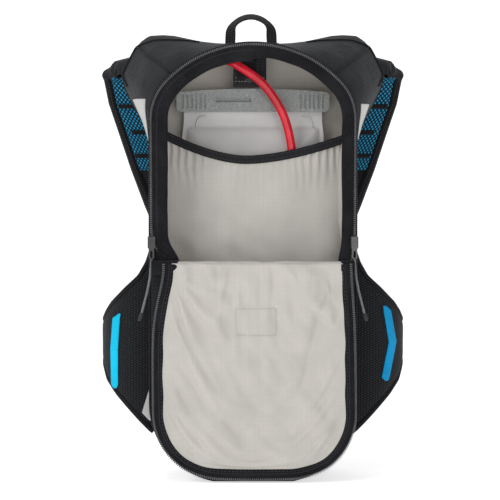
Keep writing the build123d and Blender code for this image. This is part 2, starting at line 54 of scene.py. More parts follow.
# ------------------------------------------------------------------ driving dimensions (mm)
HALF_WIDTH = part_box("back_panel")[1][0] / MM
BAG_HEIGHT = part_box("back_panel")[1][2] / MM
REAR_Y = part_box("back_panel")[1][1] / MM
FRONT_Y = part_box("zip_tape_body")[1][1] / MM
TAPE_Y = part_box("zip_tape_body")[0][1] / MM
HINGE_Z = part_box("flap_shell")[1][2] / MM
FLAP_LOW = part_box("flap_shell")[0][2] / MM
FLAP_Y = (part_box("flap_shell")[1][1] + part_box("flap_zip_teeth")[0][1]) / 2 / MM
SPRING_Z = 400.0           # where the straight sides turn into the arch
SHOULDER_R = 60.0          # the arch's two shoulders
BASE_CORNER_R = 86.0       # the two lower corners, softer than the CAD's
FLAP_CORNER_R = 74.0       # the open flap's two lower corners

SHOULDER_X = HALF_WIDTH - SHOULDER_R
RISE = BAG_HEIGHT - SPRING_Z
CROWN_R = (SHOULDER_X**2 + RISE**2 - SHOULDER_R**2) / (2 * (RISE - SHOULDER_R))
CROWN_Z = BAG_HEIGHT - CROWN_R
ARCH_ANGLE = math.degrees(math.atan2(SPRING_Z - CROWN_Z, SHOULDER_X))


# ------------------------------------------------------------------ small geometry tools
def arc(cx, cz, radius, start, end, count=24):
    turns = np.radians(np.linspace(start, end, count))
    return np.stack([cx + radius * np.cos(turns), cz + radius * np.sin(turns)], axis=1)


def resample(points, count, closed=False):
    """count points evenly along a polyline."""
    points = np.asarray(points, float)
    if closed:
        points = np.vstack([points, points[:1]])
    steps = np.linalg.norm(np.diff(points, axis=0), axis=1)
    along = np.concatenate([[0], np.cumsum(steps)])
    wanted = np.linspace(0, along[-1], count + 1)[:-1] if closed else np.linspace(0, along[-1], count)
    return np.stack([np.interp(wanted, along, points[:, i]) for i in range(points.shape[1])], axis=1)


def distances(points):
    """Distance along a path at each of its points."""
    steps = np.linalg.norm(np.diff(np.asarray(points), axis=0), axis=1)
    return np.concatenate([[0], np.cumsum(steps)])


def unit(vectors):
    """Rows scaled to length one."""
    return vectors / np.linalg.norm(vectors, axis=1)[:, None]


def smoothed(line, passes=3):
    """A path with its corners eased and its ends kept."""
    line = line.copy()
    for _ in range(passes):
        line[1:-1] = (line[:-2] + line[1:-1] * 2 + line[2:]) / 4
    return line


def length_of(points):
    return float(np.linalg.norm(np.diff(points, axis=0), axis=1).sum())


def arch_top(inset):
    """Left spring point, over the crown, to the right spring point, as x and z."""
    return np.vstack([
        arc(-SHOULDER_X, SPRING_Z, SHOULDER_R - inset, 180, 180 - ARCH_ANGLE),
        arc(0, CROWN_Z, CROWN_R - inset, 180 - ARCH_ANGLE, ARCH_ANGLE, 40),
        arc(SHOULDER_X, SPRING_Z, SHOULDER_R - inset, ARCH_ANGLE, 0),
    ])


def opening_path(inset, low=HINGE_Z, pinch=13.0, reach=19.0):
    """The zip's line from the fold on the left, over the crown, to the fold on the right."""
    side = HALF_WIDTH - inset
    path = np.vstack([[(-side, low)], arch_top(inset), [(side, low)]])
    path = resample(path, 400)
    pull = np.exp(-((path[:, 1] - HINGE_Z) / reach) ** 2)
    path[:, 0] += np.where(path[:, 0] < 0, pinch, -0.3 * pinch) * pull
    return path


def flap_path(inset):
    """The open flap's outline: narrower at its root, with full lower corners, hanging a little askew."""
    side = HALF_WIDTH - 1.0 - inset
    corner = FLAP_CORNER_R - inset
    low = FLAP_LOW + inset
    centre_z = FLAP_LOW + FLAP_CORNER_R
    path = np.vstack([
        [(-side, HINGE_Z)],
        arc(corner - side, centre_z, corner, 180, 270),
        arc(side - corner, centre_z, corner, 270, 360),
        [(side, HINGE_Z)],
    ])
    path = resample(path, 400)
    drop = (HINGE_Z - path[:, 1]) / (HINGE_Z - FLAP_LOW)
    bow = np.where(path[:, 0] < 0, 1.0, 0.35)
    path[:, 0] += np.where(path[:, 0] < 0, 13.0, -3.5) * np.exp(-((path[:, 1] - HINGE_Z) / 48.0) ** 2)
    path[:, 0] += 3.0 * drop * (1 - 0.3 * bow)
    foot = np.clip((low + 14 - path[:, 1]) / 14, 0, 1)
    fade = np.clip(1 - np.abs(path[:, 0]) / 110, 0, 1)
    path[:, 1] += foot * 3.2 * (np.abs(path[:, 0] - 3) / 60.0) ** 2 * fade
    return path


def body_outline(inset, count=300):
    """The bag's whole outline, closed, starting at the middle of the base."""
    side = HALF_WIDTH - inset
    corner = BASE_CORNER_R - inset
    centre = side - corner
    path = np.vstack([
        [(0, inset)],
        arc(-centre, BASE_CORNER_R, corner, 270, 180),
        arch_top(inset),
        arc(centre, BASE_CORNER_R, corner, 0, -90),
    ])
    return resample(path, count, closed=True)


def wrinkle(x, y, z, scale, seed=0.0):
    """Smooth signed noise, about -1 to 1, at a point in mm."""
    return noise.noise(Vector((x / scale + seed, y / scale - seed * 0.7, z / scale + seed * 1.3)))


def build(name, verts, faces, material, uvs=None, smooth=True):
    """A mesh object from vertices in mm."""
    mesh = bpy.data.meshes.new(name)
    mesh.from_pydata([tuple(v) for v in np.asarray(verts, float) * MM], [], faces)
    if smooth:
        mesh.polygons.foreach_set("use_smooth", [True] * len(mesh.polygons))
    if uvs is not None:
        layer = mesh.uv_layers.new(name="UVMap")
        corner_verts = np.zeros(len(mesh.loops), int)
        mesh.loops.foreach_get("vertex_index", corner_verts)
        layer.data.foreach_set("uv", (np.asarray(uvs, float) * MM)[corner_verts].ravel())
    mesh.materials.append(material)
    mesh.update()
    obj = bpy.data.objects.new(name, mesh)
    bpy.context.scene.collection.objects.link(obj)
    return obj


def grid_faces(rows, columns, wrap=False, offset=0):
    faces = []
    for i in range(rows - 1):
        for j in range(columns if wrap else columns - 1):
            k = (j + 1) % columns
            a, b = offset + i * columns + j, offset + i * columns + k
            faces.append((a, b, b + columns, a + columns))
    return faces


def sheet_surface(name, points, material, thick=0.0, uv=None):
    """An open surface from a grid of points (rows, columns, 3) in mm, with a thickness."""
    points = np.asarray(points, float)
    rows, columns = points.shape[:2]
    if uv is None:
        across = distances(points[rows // 2])
        middle = points[:, columns // 2]
        along = distances(middle)
        uv = np.stack(np.meshgrid(along, across, indexing="ij"), axis=2)
    obj = build(name, points.reshape(-1, 3), grid_faces(rows, columns), material, uv.reshape(-1, 2))
    if thick:
        solid = obj.modifiers.new("thickness", "SOLIDIFY")
        solid.thickness = thick * MM
        solid.offset = 0
        apply_modifiers(obj)
    return obj


def frames_along(centres, across=None, up=None):
    """Tangents, across directions and normals along a path in 3-D."""
    centres = np.asarray(centres, float)
    tangents = np.gradient(centres, axis=0)
    tangents = unit(tangents)
    if across is not None:
        across = np.broadcast_to(np.asarray(across, float), centres.shape)
        normals = np.cross(tangents, across)
    else:
        normals = np.broadcast_to(np.asarray(up, float), centres.shape)
    normals = normals / np.linalg.norm(normals, axis=1)[:, None]
    across = np.cross(normals, tangents)
    across = unit(across)
    normals = np.cross(tangents, across)
    return tangents, across, normals


def sweep(name, centres, across, normals, profile, material, closed=False):
    """A closed profile carried along a path. profile(i) gives (a, b) pairs, in mm."""
    count = len(centres)
    rings = []
    for i in range(count):
        ring = np.asarray(profile(i), float)
        rings.append(centres[i] + ring[:, :1] * across[i] + ring[:, 1:] * normals[i])
    rings = np.asarray(rings)
    size = rings.shape[1]
    faces = grid_faces(count, size, wrap=True)
    if closed:
        last = (count - 1) * size
        faces += [(last + j, last + (j + 1) % size, (j + 1) % size, j) for j in range(size)]
    else:
        faces.append(tuple(range(size - 1, -1, -1)))
        faces.append(tuple((count - 1) * size + j for j in range(size)))
    along = distances(centres)
    first = np.vstack([rings[count // 2], rings[count // 2][:1]])
    around = distances(first)[:size]
    uv = np.stack(np.meshgrid(along, around, indexing="ij"), axis=2)
    return build(name, rings.reshape(-1, 3), faces, material, uv.reshape(-1, 2))


def strap_profile(half, thick, edge=0.35, points=7):
    """A flat band's section with rounded edges."""
    edge = min(edge * thick, thick / 2)
    right = [(half - edge + edge * math.cos(t), (thick / 2) * math.sin(t))
             for t in np.linspace(-math.pi / 2, math.pi / 2, points)]
    return right + [(-a, -b) for a, b in right]


def pad_profile(half, thick, power=0.45, points=36):
    """A foam pad's section: flat faces that round off into full edges."""
    turns = np.linspace(0, 2 * math.pi, points, endpoint=False)
    a = half * np.sign(np.cos(turns)) * np.abs(np.cos(turns)) ** power
    b = thick / 2 * np.sign(np.sin(turns)) * np.abs(np.sin(turns)) ** (power * 1.6)
    return np.stack([a, b], axis=1)


def scatter(name, centres, directions, normals, template, faces, material, every=1):
    """One mesh of many small copies. The template's axes are along, across and normal."""
    verts, all_faces = [], []
    template = np.asarray(template, float)
    for i in range(0, len(centres), every):
        t, n = directions[i], normals[i]
        a = np.cross(n, t)
        base = len(verts)
        for p in template:
            verts.append(centres[i] + p[0] * t + p[1] * a + p[2] * n)
        all_faces += [tuple(base + k for k in f) for f in faces]
    return build(name, verts, all_faces, material, smooth=True)


def rod(name, centres, radius, material, closed=False, sides=10):
    """A round rod along a path in mm, with one radius or one for each point."""
    centres = np.asarray(centres, float)
    if closed:
        tangents = unit(np.roll(centres, -1, axis=0) - np.roll(centres, 1, axis=0))
    else:
        tangents = unit(np.gradient(centres, axis=0))
    side = np.cross(tangents[0], (0.0, 1.0, 0.0) if abs(tangents[0][1]) < 0.9 else (1.0, 0.0, 0.0))
    across = []
    for tangent in tangents:
        side = side - tangent * np.dot(side, tangent)
        side = side / np.linalg.norm(side)
        across.append(side)
    across = np.array(across)
    normals = np.cross(tangents, across)
    radii = np.broadcast_to(np.asarray(radius, float), (len(centres),))
    turns = np.linspace(0, 2 * math.pi, sides, endpoint=False)
    ring = np.stack([np.cos(turns), np.sin(turns)], axis=1)
    return sweep(name, centres, across, normals, lambda i: ring * radii[i], material, closed)


def stitch_template(length, width, height):
    """A stitch: a low rounded lozenge."""
    verts, faces = [], []
    for u, s in ((-0.5, 0.25), (-0.3, 1.0), (0.3, 1.0), (0.5, 0.25)):
        for turn in range(6):
            angle = turn * math.pi / 3
            verts.append((u * length, s * width / 2 * math.cos(angle), s * height * math.sin(angle)))
    for ring in range(3):
        for turn in range(6):
            a, b = ring * 6 + turn, ring * 6 + (turn + 1) % 6
            faces.append((a, b, b + 6, a + 6))
    faces += [tuple(range(5, -1, -1)), tuple(range(18, 24))]
    return verts, faces


def stitches(name, path, normals, material, pitch=3.6, length=2.6, width=0.7, height=0.45):
    """A row of stitches along a 3-D path, lying on its normals."""
    count = max(2, int(length_of(path) / pitch))
    places = resample(path, count)
    tops = resample(np.asarray(normals), count) if len(normals) == len(path) else normals
    tangents = np.gradient(places, axis=0)
    tangents = unit(tangents)
    tops = np.asarray(tops, float)
    tops = tops / np.linalg.norm(tops, axis=1)[:, None]
    verts, faces = stitch_template(length, width, height)
    return scatter(name, places, tangents, tops, verts, faces, material)


def apply_modifiers(obj):
    """Leaves the object with its evaluated mesh and no modifiers."""
    evaluated = obj.evaluated_get(bpy.context.evaluated_depsgraph_get())
    mesh = bpy.data.meshes.new_from_object(evaluated)
    obj.modifiers.clear()
    obj.shape_key_clear()
    obj.data = mesh


def subdivide(obj, levels=1):
    modifier = obj.modifiers.new("smooth", "SUBSURF")
    modifier.levels = levels
    modifier.render_levels = levels
    apply_modifiers(obj)


def place(obj, body, slot, *nodes):
    """Rides obj on a body and hides the CAD nodes it stands for; slot is not used."""
    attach(obj, body)
    if nodes:
        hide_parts(*nodes)
    return obj


def both_sides(maker, *args):
    """Calls a maker for the left side, then for the right."""
    for side, sign in (("left", -1), ("right", 1)):
        maker(side, sign, *args)


# ------------------------------------------------------------------ materials
class Shader:
    """A material's node tree, with short calls for the nodes it needs."""

    def __init__(self, name, color, roughness):
        self.material = bpy.data.materials.new(name)
        self.material.use_nodes = True
        self.nodes = self.material.node_tree.nodes
        self.links = self.material.node_tree.links
        self.bsdf = self.nodes["Principled BSDF"]
        self.color = (*color, 1.0)
        self.set("Base Color", self.color)
        self.set("Roughness", roughness)
        self.set("Specular IOR Level", 0.13)
        self.material.diffuse_color = self.color

    def set(self, socket, value):
        self.bsdf.inputs[socket].default_value = value

    def add(self, kind, **inputs):
        node = self.nodes.new(kind)
        for key, value in inputs.items():
            self.plug(node, key.replace("_", " "), value)
        return node

    def plug(self, node, key, value):
        socket = node.inputs[int(key)] if key.isdigit() else node.inputs[key]
        if isinstance(value, bpy.types.NodeSocket):
            self.links.new(value, socket)
        else:
            socket.default_value = value

    def math(self, operation, first, second=0.0, third=0.0):
        node = self.nodes.new("ShaderNodeMath")
        node.operation = operation
        for index, value in enumerate((first, second, third)):
            self.plug(node, str(index), value)
        return node.outputs[0]

    def place(self, source="UV"):
        """Separate coordinates in metres: the mesh's own map, or the row frame."""
        node = self.nodes.new("ShaderNodeTexCoord")
        self.vector = node.outputs["UV" if source == "UV" else "Object"]
        split = self.nodes.new("ShaderNodeSeparateXYZ")
        self.links.new(self.vector, split.inputs[0])
        return split.outputs

    def noise(self, scale, detail=3.0, roughness=0.5):
        return self.add("ShaderNodeTexNoise", Vector=self.vector, Scale=scale, Detail=detail,
                        Roughness=roughness).outputs["Fac"]

    def ramp(self, value, low, high):
        node = self.nodes.new("ShaderNodeMapRange")
        node.clamp = True
        node.interpolation_type = "SMOOTHSTEP"
        for key, amount in (("Value", value), ("From Min", low), ("From Max", high)):
            self.plug(node, key, amount)
        return node.outputs[0]

    def mix(self, factor, first, second):
        node = self.nodes.new("ShaderNodeMix")
        node.data_type = "RGBA"
        for index, value in ((0, factor), (6, first), (7, second)):
            self.plug(node, str(index), value)
        return node.outputs[2]

    def shade(self, color, factor):
        """color as it is, times factor, for wear and shadow."""
        return tuple(min(1.0, c * factor) for c in color[:3]) + (1.0,)

    def wave(self, coordinate, pitch, phase=0.0):
        """A sine along a coordinate in metres, from -1 to 1."""
        turns = self.math("MULTIPLY_ADD", coordinate, 2 * math.pi / (pitch * MM), phase)
        return self.math("SINE", turns)

    def bump(self, height, strength, distance):
        node = self.add("ShaderNodeBump", Strength=strength, Distance=distance * MM, Height=height)
        self.links.new(node.outputs[0], self.bsdf.inputs["Normal"])

    def base(self, socket):
        self.links.new(socket, self.bsdf.inputs["Base Color"])


def woven(name, color, roughness=0.8, source="UV", pitch=1.1, grid=0.0, grid_tone=1.35,
          mottle=0.25, sheen=0.06, depth=0.12, creases=0.0,
          speckle=1.5):
    """Plain weave, with an optional ripstop grid, faint mottling and fine creases."""
    shader = Shader(name, color, roughness)
    u, v, w = shader.place(source)
    if source != "UV":
        u = shader.math("ADD", u, shader.math("MULTIPLY", w, 0.0))
        v = shader.math("ADD", w, v)
    over = shader.math("MAXIMUM", shader.wave(u, pitch), shader.wave(v, pitch, 1.5))
    height = shader.math("MULTIPLY", over, 0.5)
    patches = shader.ramp(shader.noise(28.0), 0.3, 0.7)
    tone = shader.mix(patches, shader.shade(color, 1 - mottle), shader.shade(color, 1 + mottle))
    if grid:
        lines = shader.math("MAXIMUM", shader.ramp(shader.wave(u, grid), 0.90, 0.99),
                            shader.ramp(shader.wave(v, grid), 0.90, 0.99))
        tone = shader.mix(shader.math("MULTIPLY", lines, 0.6), tone, shader.shade(color, grid_tone))
        height = shader.math("ADD", height, lines)
    if creases:
        folds = shader.noise(70.0, 4.0, 0.6)
        height = shader.math("ADD", height, shader.math("MULTIPLY", folds, creases))
    fine = shader.ramp(shader.noise(420.0, 3.0, 0.7), 0.45, 0.75)
    tone = shader.mix(shader.math("MULTIPLY", fine, 0.5), tone, shader.shade(color, speckle))
    shader.base(tone)
    shader.bump(height, 0.6, depth)
    shader.set("Sheen Weight", sheen)
    shader.set("Sheen Roughness", 0.5)
    return shader.material


def ribbed(name, color, pitch=1.6, roughness=0.75, along=0, depth=0.25, tone=1.6):
    """Webbing, elastic or zip tape: fine ribs, with a herringbone hint across them, painted lighter on the
    rib tops and darker in the grooves as painted highlight and shade; tone sets how light the rib tops are
    painted.
    """
    shader = Shader(name, color, roughness)
    axes = shader.place("UV")
    rib = shader.wave(axes[along], pitch)
    cross = shader.wave(axes[1 - along], pitch * 2.6, 0.6)
    height = shader.math("ADD", rib, shader.math("MULTIPLY", cross, 0.35))
    # painted highlight on the rib tops and painted shade in the grooves, following the bump's height
    light = shader.ramp(height, -0.6, 1.2)
    shader.base(shader.mix(light, shader.shade(color, 0.6), shader.shade(color, tone)))
    shader.bump(height, 0.7, depth)
    shader.set("Sheen Weight", 0.04)
    return shader.material


def spacer_mesh(name, color, dot_color, pitch=5.6, source="UV", roughness=0.7, depth=0.5):
    """Open spacer mesh: rows of round holes, staggered, with the colour showing between."""
    shader = Shader(name, color, roughness)
    u, v, w = shader.place(source)
    if source != "UV":
        v = w
    first = shader.math("MULTIPLY", shader.wave(u, pitch), shader.wave(v, pitch * 0.8))
    hole = shader.ramp(first, 0.0, 0.55)
    patches = shader.ramp(shader.noise(40.0), 0.3, 0.7)
    thread = shader.mix(patches, shader.shade(color, 0.8), shader.shade(color, 1.25))
    shader.base(shader.mix(hole, thread, (*dot_color, 1.0)))
    shader.bump(shader.math("SUBTRACT", 1.0, hole), 0.8, depth)
    shader.set("Sheen Weight", 0.05)
    return shader.material


def rib_mesh(name, color, pitch=2.8):
    """The wings' knit: fine slanted ribs with a broken thread, painted lighter on the crests and darker in
    the gaps as painted highlight and shade.
    """
    shader = Shader(name, color, 0.8)
    u, v = shader.place("UV")[:2]
    slant = shader.math("ADD", v, shader.math("MULTIPLY", u, 0.35))
    rib = shader.wave(slant, pitch)
    gaps = shader.wave(u, pitch * 1.3, 0.7)
    height = shader.math("ADD", rib, shader.math("MULTIPLY", gaps, 0.5))
    # painted highlight on the rib crests and painted shade in the gaps, following the bump's height
    light = shader.ramp(height, 0.1, 1.3)
    shader.base(shader.mix(light, shader.shade(color, 0.55), shader.shade(color, 2.3)))
    shader.bump(height, 0.8, 0.35)
    shader.set("Sheen Weight", 0.05)
    return shader.material


def plastic(name, color, roughness=0.45, grain=0.5, grain_scale=900.0, coat=0.0):
    """Moulded plastic with a fine eroded grain and slightly paler wear."""
    shader = Shader(name, color, roughness)
    shader.place("object")
    grains = shader.noise(grain_scale, 3.0, 0.6)
    wear = shader.ramp(shader.noise(60.0, 4.0, 0.6), 0.35, 0.8)
    shader.base(shader.mix(wear, shader.shade(color, 0.9), shader.shade(color, 1.2)))
    shader.bump(grains, grain, 0.1)
    shader.set("Coat Weight", coat)
    shader.set("Specular IOR Level", 0.4)
    return shader.material


def clip_grain():
    """The slide clip: grey, with a coarse speckled grain."""
    color = (0.29, 0.305, 0.30)
    shader = Shader("clip_grey", color, 0.5)
    shader.place("object")
    speckle = shader.ramp(shader.noise(900.0, 4.0, 0.7), 0.40, 0.65)
    shader.base(shader.mix(speckle, shader.shade(color, 0.85), shader.shade(color, 1.3)))
    shader.bump(speckle, 0.5, 0.2)
    return shader.material


def hose_red():
    shader = Shader("hose_red", (0.62, 0.002, 0.018), 0.16)
    shader.place("object")
    depth = shader.ramp(shader.noise(35.0), 0.3, 0.7)
    shader.base(shader.mix(depth, (0.50, 0.001, 0.012, 1.0), (0.76, 0.006, 0.03, 1.0)))
    shader.set("Coat Weight", 0.8)
    shader.set("Coat Roughness", 0.05)
    shader.set("Subsurface Weight", 0.15)
    shader.set("Subsurface Radius", (0.004, 0.001, 0.001))
    return shader.material


def bladder_film():
    """Milky film: soft, half see-through, with fine crinkles."""
    shader = Shader("bladder_film", (0.80, 0.795, 0.785), 0.3)
    shader.place("object")
    crinkle = shader.noise(55.0, 5.0, 0.65)
    cloud = shader.ramp(shader.noise(14.0), 0.3, 0.7)
    shader.base(shader.mix(cloud, (0.70, 0.695, 0.685, 1.0), (0.86, 0.855, 0.845, 1.0)))
    shader.bump(crinkle, 0.35, 1.2)
    shader.set("Transmission Weight", 0.25)
    shader.set("IOR", 1.4)
    shader.set("Coat Weight", 0.35)
    shader.set("Coat Roughness", 0.15)
    return shader.material


def reflective_film():
    color = (0.46, 0.46, 0.44)
    shader = Shader("reflective_film", color, 0.35)
    shader.place("UV")
    beads = shader.noise(1500.0, 2.0)
    shader.base(shader.mix(beads, shader.shade(color, 0.75), shader.shade(color, 1.3)))
    shader.bump(beads, 0.3, 0.1)
    shader.set("Metallic", 0.35)
    return shader.material


def stage_material(name, color, glow):
    shader = Shader(name, color, 0.9)
    shader.set("Specular IOR Level", 0.0)
    shader.set("Emission Color", (1.0, 1.0, 1.0, 1.0))
    shader.set("Emission Strength", glow)
    return shader.material


SHELL = woven("shell_ripstop", (0.0165, 0.018, 0.0205), grid=4.6, grid_tone=2.0, creases=0.8)
SHELL_PLAIN = woven("shell_plain", (0.0125, 0.0135, 0.0155), mottle=0.3, creases=0.6)
LINING = woven("lining_grey", (0.490, 0.470, 0.437), roughness=0.6, source="object", pitch=1.3,
               grid=5.2, grid_tone=0.94, mottle=0.05, sheen=0.03, depth=0.06, creases=0.7, speckle=1.05)
# for the ribbed tapes below, tone is how light their rib tops are painted, a painted highlight
BINDING = ribbed("binding_black", (0.0095, 0.0095, 0.0115), pitch=1.5, tone=2.6)
FLEECE = woven("binding_fleece", (0.0070, 0.0072, 0.0088), pitch=2.0, mottle=0.5, sheen=0.05, depth=0.3,
               creases=2.0, speckle=3.2)
TAPE = ribbed("zip_tape_black", (0.012, 0.012, 0.014), pitch=1.8, tone=2.8)
WEBBING = ribbed("webbing_black", (0.020, 0.020, 0.022), pitch=2.0, tone=2.2, depth=0.35)
ELASTIC = ribbed("elastic_black", (0.015, 0.015, 0.017), pitch=1.5, tone=2.6, depth=0.4)
BLUE_MESH = spacer_mesh("blue_mesh", (0.004, 0.018, 0.035), (0.03, 0.36, 0.62))
BLACK_MESH = spacer_mesh("black_mesh", (0.030, 0.031, 0.034), (0.006, 0.006, 0.007), pitch=3.0)
WING_KNIT = rib_mesh("wing_knit", (0.0135, 0.0145, 0.0165))
# the right wing's stripe is the left's cyan painted darker, as painted shade
STRIPE_LEFT = woven("stripe_cyan", (0.0, 0.50, 0.78), roughness=0.45, mottle=0.08, sheen=0.0, depth=0.04)
STRIPE_SHADED = woven("stripe_shaded_cyan", (0.0, 0.27, 0.56), roughness=0.45, mottle=0.08, sheen=0.0, depth=0.04)
TEETH = plastic("zip_coil", (0.105, 0.105, 0.112), roughness=0.35, grain=0.2)
METAL = plastic("slider_enamel", (0.030, 0.030, 0.033), roughness=0.3, grain=0.15, coat=0.5)
BUCKLE = plastic("buckle_black", (0.022, 0.022, 0.024), roughness=0.42)
RUBBER = plastic("valve_black", (0.020, 0.020, 0.023), roughness=0.6)
SHEET_PLASTIC = plastic("stiffener_white", (0.62, 0.62, 0.60), roughness=0.5)
THREAD = plastic("thread_black", (0.035, 0.035, 0.038), roughness=0.7)
THREAD_GREY = plastic("thread_grey", (0.46, 0.44, 0.41), roughness=0.7)
CORD = woven("cord_grey", (0.16, 0.17, 0.18), pitch=1.4, mottle=0.7, sheen=0.1, depth=0.2)
FILM = bladder_film()
CLIP = clip_grain()
HOSE = hose_red()
REFLECTIVE = reflective_film()


# ------------------------------------------------------------------ camera, light and floor
def make_stage():
    target = Vector((-3.3, FRONT_Y, 256.0)) * MM
    distance = 2.7
    elevation = math.radians(3.0)
    offset = Vector((0.0, -math.cos(elevation), math.sin(elevation))) * distance
    camera = bpy.data.objects.new("camera", bpy.data.cameras.new("camera"))
    camera.location = target + offset
    camera.rotation_euler = (-offset).to_track_quat("-Z", "Y").to_euler()
    frame_width = 0.550
    camera.data.sensor_width = 36.0
    camera.data.lens = 36.0 * distance / frame_width
    camera.data.clip_end = 50.0
    bpy.context.scene.collection.objects.link(camera)
    bpy.context.scene.camera = camera

    pale = stage_material("backdrop_white", (0.86, 0.86, 0.86), 0.62)
    bend, reach, rear, tall = 3.0, 24.0, 14.0, 16.0
    profile = [(-14.0, 0.0), (rear - bend, 0.0)]
    profile += [(rear - bend + bend * math.sin(t), bend - bend * math.cos(t))
                for t in np.linspace(0, math.pi / 2, 16)[1:]]
    profile.append((rear, tall))
    verts = [(x, y, z) for y, z in profile for x in (-reach, reach)]
    mesh = bpy.data.meshes.new("backdrop")
    mesh.from_pydata(verts, [], [(2 * i, 2 * i + 1, 2 * i + 3, 2 * i + 2) for i in range(len(profile) - 1)])
    mesh.polygons.foreach_set("use_smooth", [True] * len(mesh.polygons))
    mesh.materials.append(pale)
    backdrop = bpy.data.objects.new("backdrop", mesh)
    bpy.context.scene.collection.objects.link(backdrop)

    world = bpy.data.worlds.new("studio")
    bpy.context.scene.world = world
    world.use_nodes = True
    world.node_tree.nodes["Background"].inputs[0].default_value = (1.0, 1.0, 1.0, 1.0)
    world.node_tree.nodes["Background"].inputs[1].default_value = 0.36
    for name, place, size, power in (
        ("key", (-1.6, -1.6, 1.6), 0.8, 20.0),
        ("fill", (0.9, -2.9, 0.7), 1.6, 17.0),
        ("top", (-0.3, -0.5, 2.4), 1.0, 12.0),
    ):
        light = bpy.data.lights.new(name, "AREA")
        light.size = size
        light.energy = power
        lamp = bpy.data.objects.new(name, light)
        lamp.location = place
        aim = Vector((0, 0, 0.25)) - Vector(place)
        lamp.rotation_euler = aim.to_track_quat("-Z", "Y").to_euler()
        bpy.context.scene.collection.objects.link(lamp)
    bpy.context.scene.view_settings.view_transform = "Standard"
    bpy.context.scene.view_settings.look = "None"


make_stage()


# ------------------------------------------------------------------ cords
PULL_ROUTE = [(-111.5, 246.0), (-112.5, 230.0), (-115.5, 213.0), (-119.5, 198.0), (-123.0, 184.0)]
PULL_Y = -61.3
TUBE_ROUTE = [
    (42.0, 2.5, 166.0), (43.5, 2.5, 215.0), (46.5, 2.5, 268.0), (47.0, 2.8, 322.0),
    (44.0, 2.5, 368.0), (35.5, 1.5, 405.0), (14.5, 0.5, 437.0), (-2.0, 0.5, 450.5),
    (-27.0, 0.5, 466.0), (-41.0, 22.0, 467.5), (-40.0, 40.0, 463.0), (-40.5, 62.0, 460.5),
]
STRAP_BEND = (80.0, 440.0, 27.0)           # centre (y, z) and radius of the strap's upper bend
STRAP_RUN = (-149.46, 399.54, 260.0)       # centre and radius of the long run below it
STRAP_JOIN = 10.0


def strap_point(middle, angle, x):
    """A point on the strap's side profile: above the junction it is on the bend."""
    cy, cz, radius = STRAP_BEND if angle > STRAP_JOIN else STRAP_RUN
    turn = math.radians(angle)
    return (x, cy + (radius + middle) * math.cos(turn), cz + (radius + middle) * math.sin(turn))


def spline(name, points, radius, material):
    """A smooth line through space with a round section, from control points in mm."""
    curve = bpy.data.curves.new(name, "CURVE")
    curve.dimensions = "3D"
    curve.bevel_depth = radius * MM
    curve.bevel_resolution = 5
    curve.resolution_u = 12
    curve.use_fill_caps = True
    line = curve.splines.new("NURBS")
    line.points.add(len(points) - 1)
    for slot, point in zip(line.points, points):
        slot.co = (*(c * MM for c in point), 1.0)
    line.order_u = 3
    line.use_endpoint_u = True
    curve.materials.append(material)
    obj = bpy.data.objects.new(name, curve)
    bpy.context.scene.collection.objects.link(obj)
    return obj


def make_pull_cord(side, sign):
    route = [(-sign * x, PULL_Y, z) for x, z in PULL_ROUTE]
    cord = spline(f"cord_{side}", route, 1.3, CORD)
    place(cord, f"pull_{side}", "cord", f"pull_cord_{side}")
    tip = [Vector(p) for p in route[-2:]]
    direction = (tip[1] - tip[0]).normalized()
    centres = np.array([tip[1] + direction * d for d in (-3.0, -1.2, 1.5, 4.0, 6.0)])
    radii = (1.5, 2.1, 2.4, 2.2, 1.5)
    across, normals = frames_along(centres, across=(0.0, 1.0, 0.0))[1:]
    turns = np.linspace(0, 2 * math.pi, 16, endpoint=False)
    end = sweep(f"cord_end_{side}", centres, across, normals,
                lambda i: np.stack([radii[i] * np.cos(turns), radii[i] * np.sin(turns)], axis=1), RUBBER)
    place(end, f"pull_{side}", "cord")


both_sides(make_pull_cord)

hose_inside = spline("hose_inside", TUBE_ROUTE, 5.0, HOSE)
place(hose_inside, "pack", "red_tube", "drink_tube")

OVER = 6.0 + 5.0 + 2.0
STRAP_TUBE_ROUTE = [
    strap_point(OVER, 62, -104.0), strap_point(OVER, 34, -113.0), strap_point(OVER, 7, -117.0),
    strap_point(OVER, -1, -114.0), strap_point(OVER + 0.5, -9, -106.5),
    strap_point(OVER + 3.0, -16.5, -98.0),
]
hose_outside = spline("hose_outside", STRAP_TUBE_ROUTE, 5.0, HOSE)
place(hose_outside, "left_strap", "red_tube", "strap_tube")


# ------------------------------------------------------------------ zip border and teeth
def ruled(name, outer, inner, section, material):
    """A band between two paths in x and z. section gives (share from outer to inner, y) pairs."""
    rings = []
    for (ox, oz), (ix, iz) in zip(outer, inner):
        rings.append([(ox + (ix - ox) * t, y, oz + (iz - oz) * t) for t, y in section])
    rings = np.asarray(rings)
    count, size = rings.shape[:2]
    faces = grid_faces(count, size, wrap=True)
    faces += [tuple(range(size - 1, -1, -1)), tuple((count - 1) * size + j for j in range(size))]
    along = distances(outer)
    width = np.linalg.norm(np.asarray(outer) - np.asarray(inner), axis=1).mean()
    share = np.array([t for t, y in section]) * width + np.array([abs(y - section[0][1]) for t, y in section])
    uv = np.stack(np.meshgrid(along, share, indexing="ij"), axis=2)
    return build(name, rings.reshape(-1, 3), faces, material, uv.reshape(-1, 2))


def ribbon_section(front, back, roll=0.05, crown=0.0, points=9):
    """Section of a flat band with rolled edges, seen from the front: front and back are y."""
    middle, half = (front + back) / 2, abs(back - front) / 2
    shares = np.linspace(0, 1, points)
    face = [(t, front - crown * math.sin(math.pi * t)) for t in shares[1:-1]]
    rear = [(t, back) for t in shares[1:-1][::-1]]
    left = [(roll * 0.3, middle - half * 0.7), (0.0, middle), (roll * 0.3, middle + half * 0.7)]
    right = [(1 - s, y) for s, y in left]
    return [left[0]] + face + [right[0], right[1], right[2]] + rear + [left[2], left[1]]


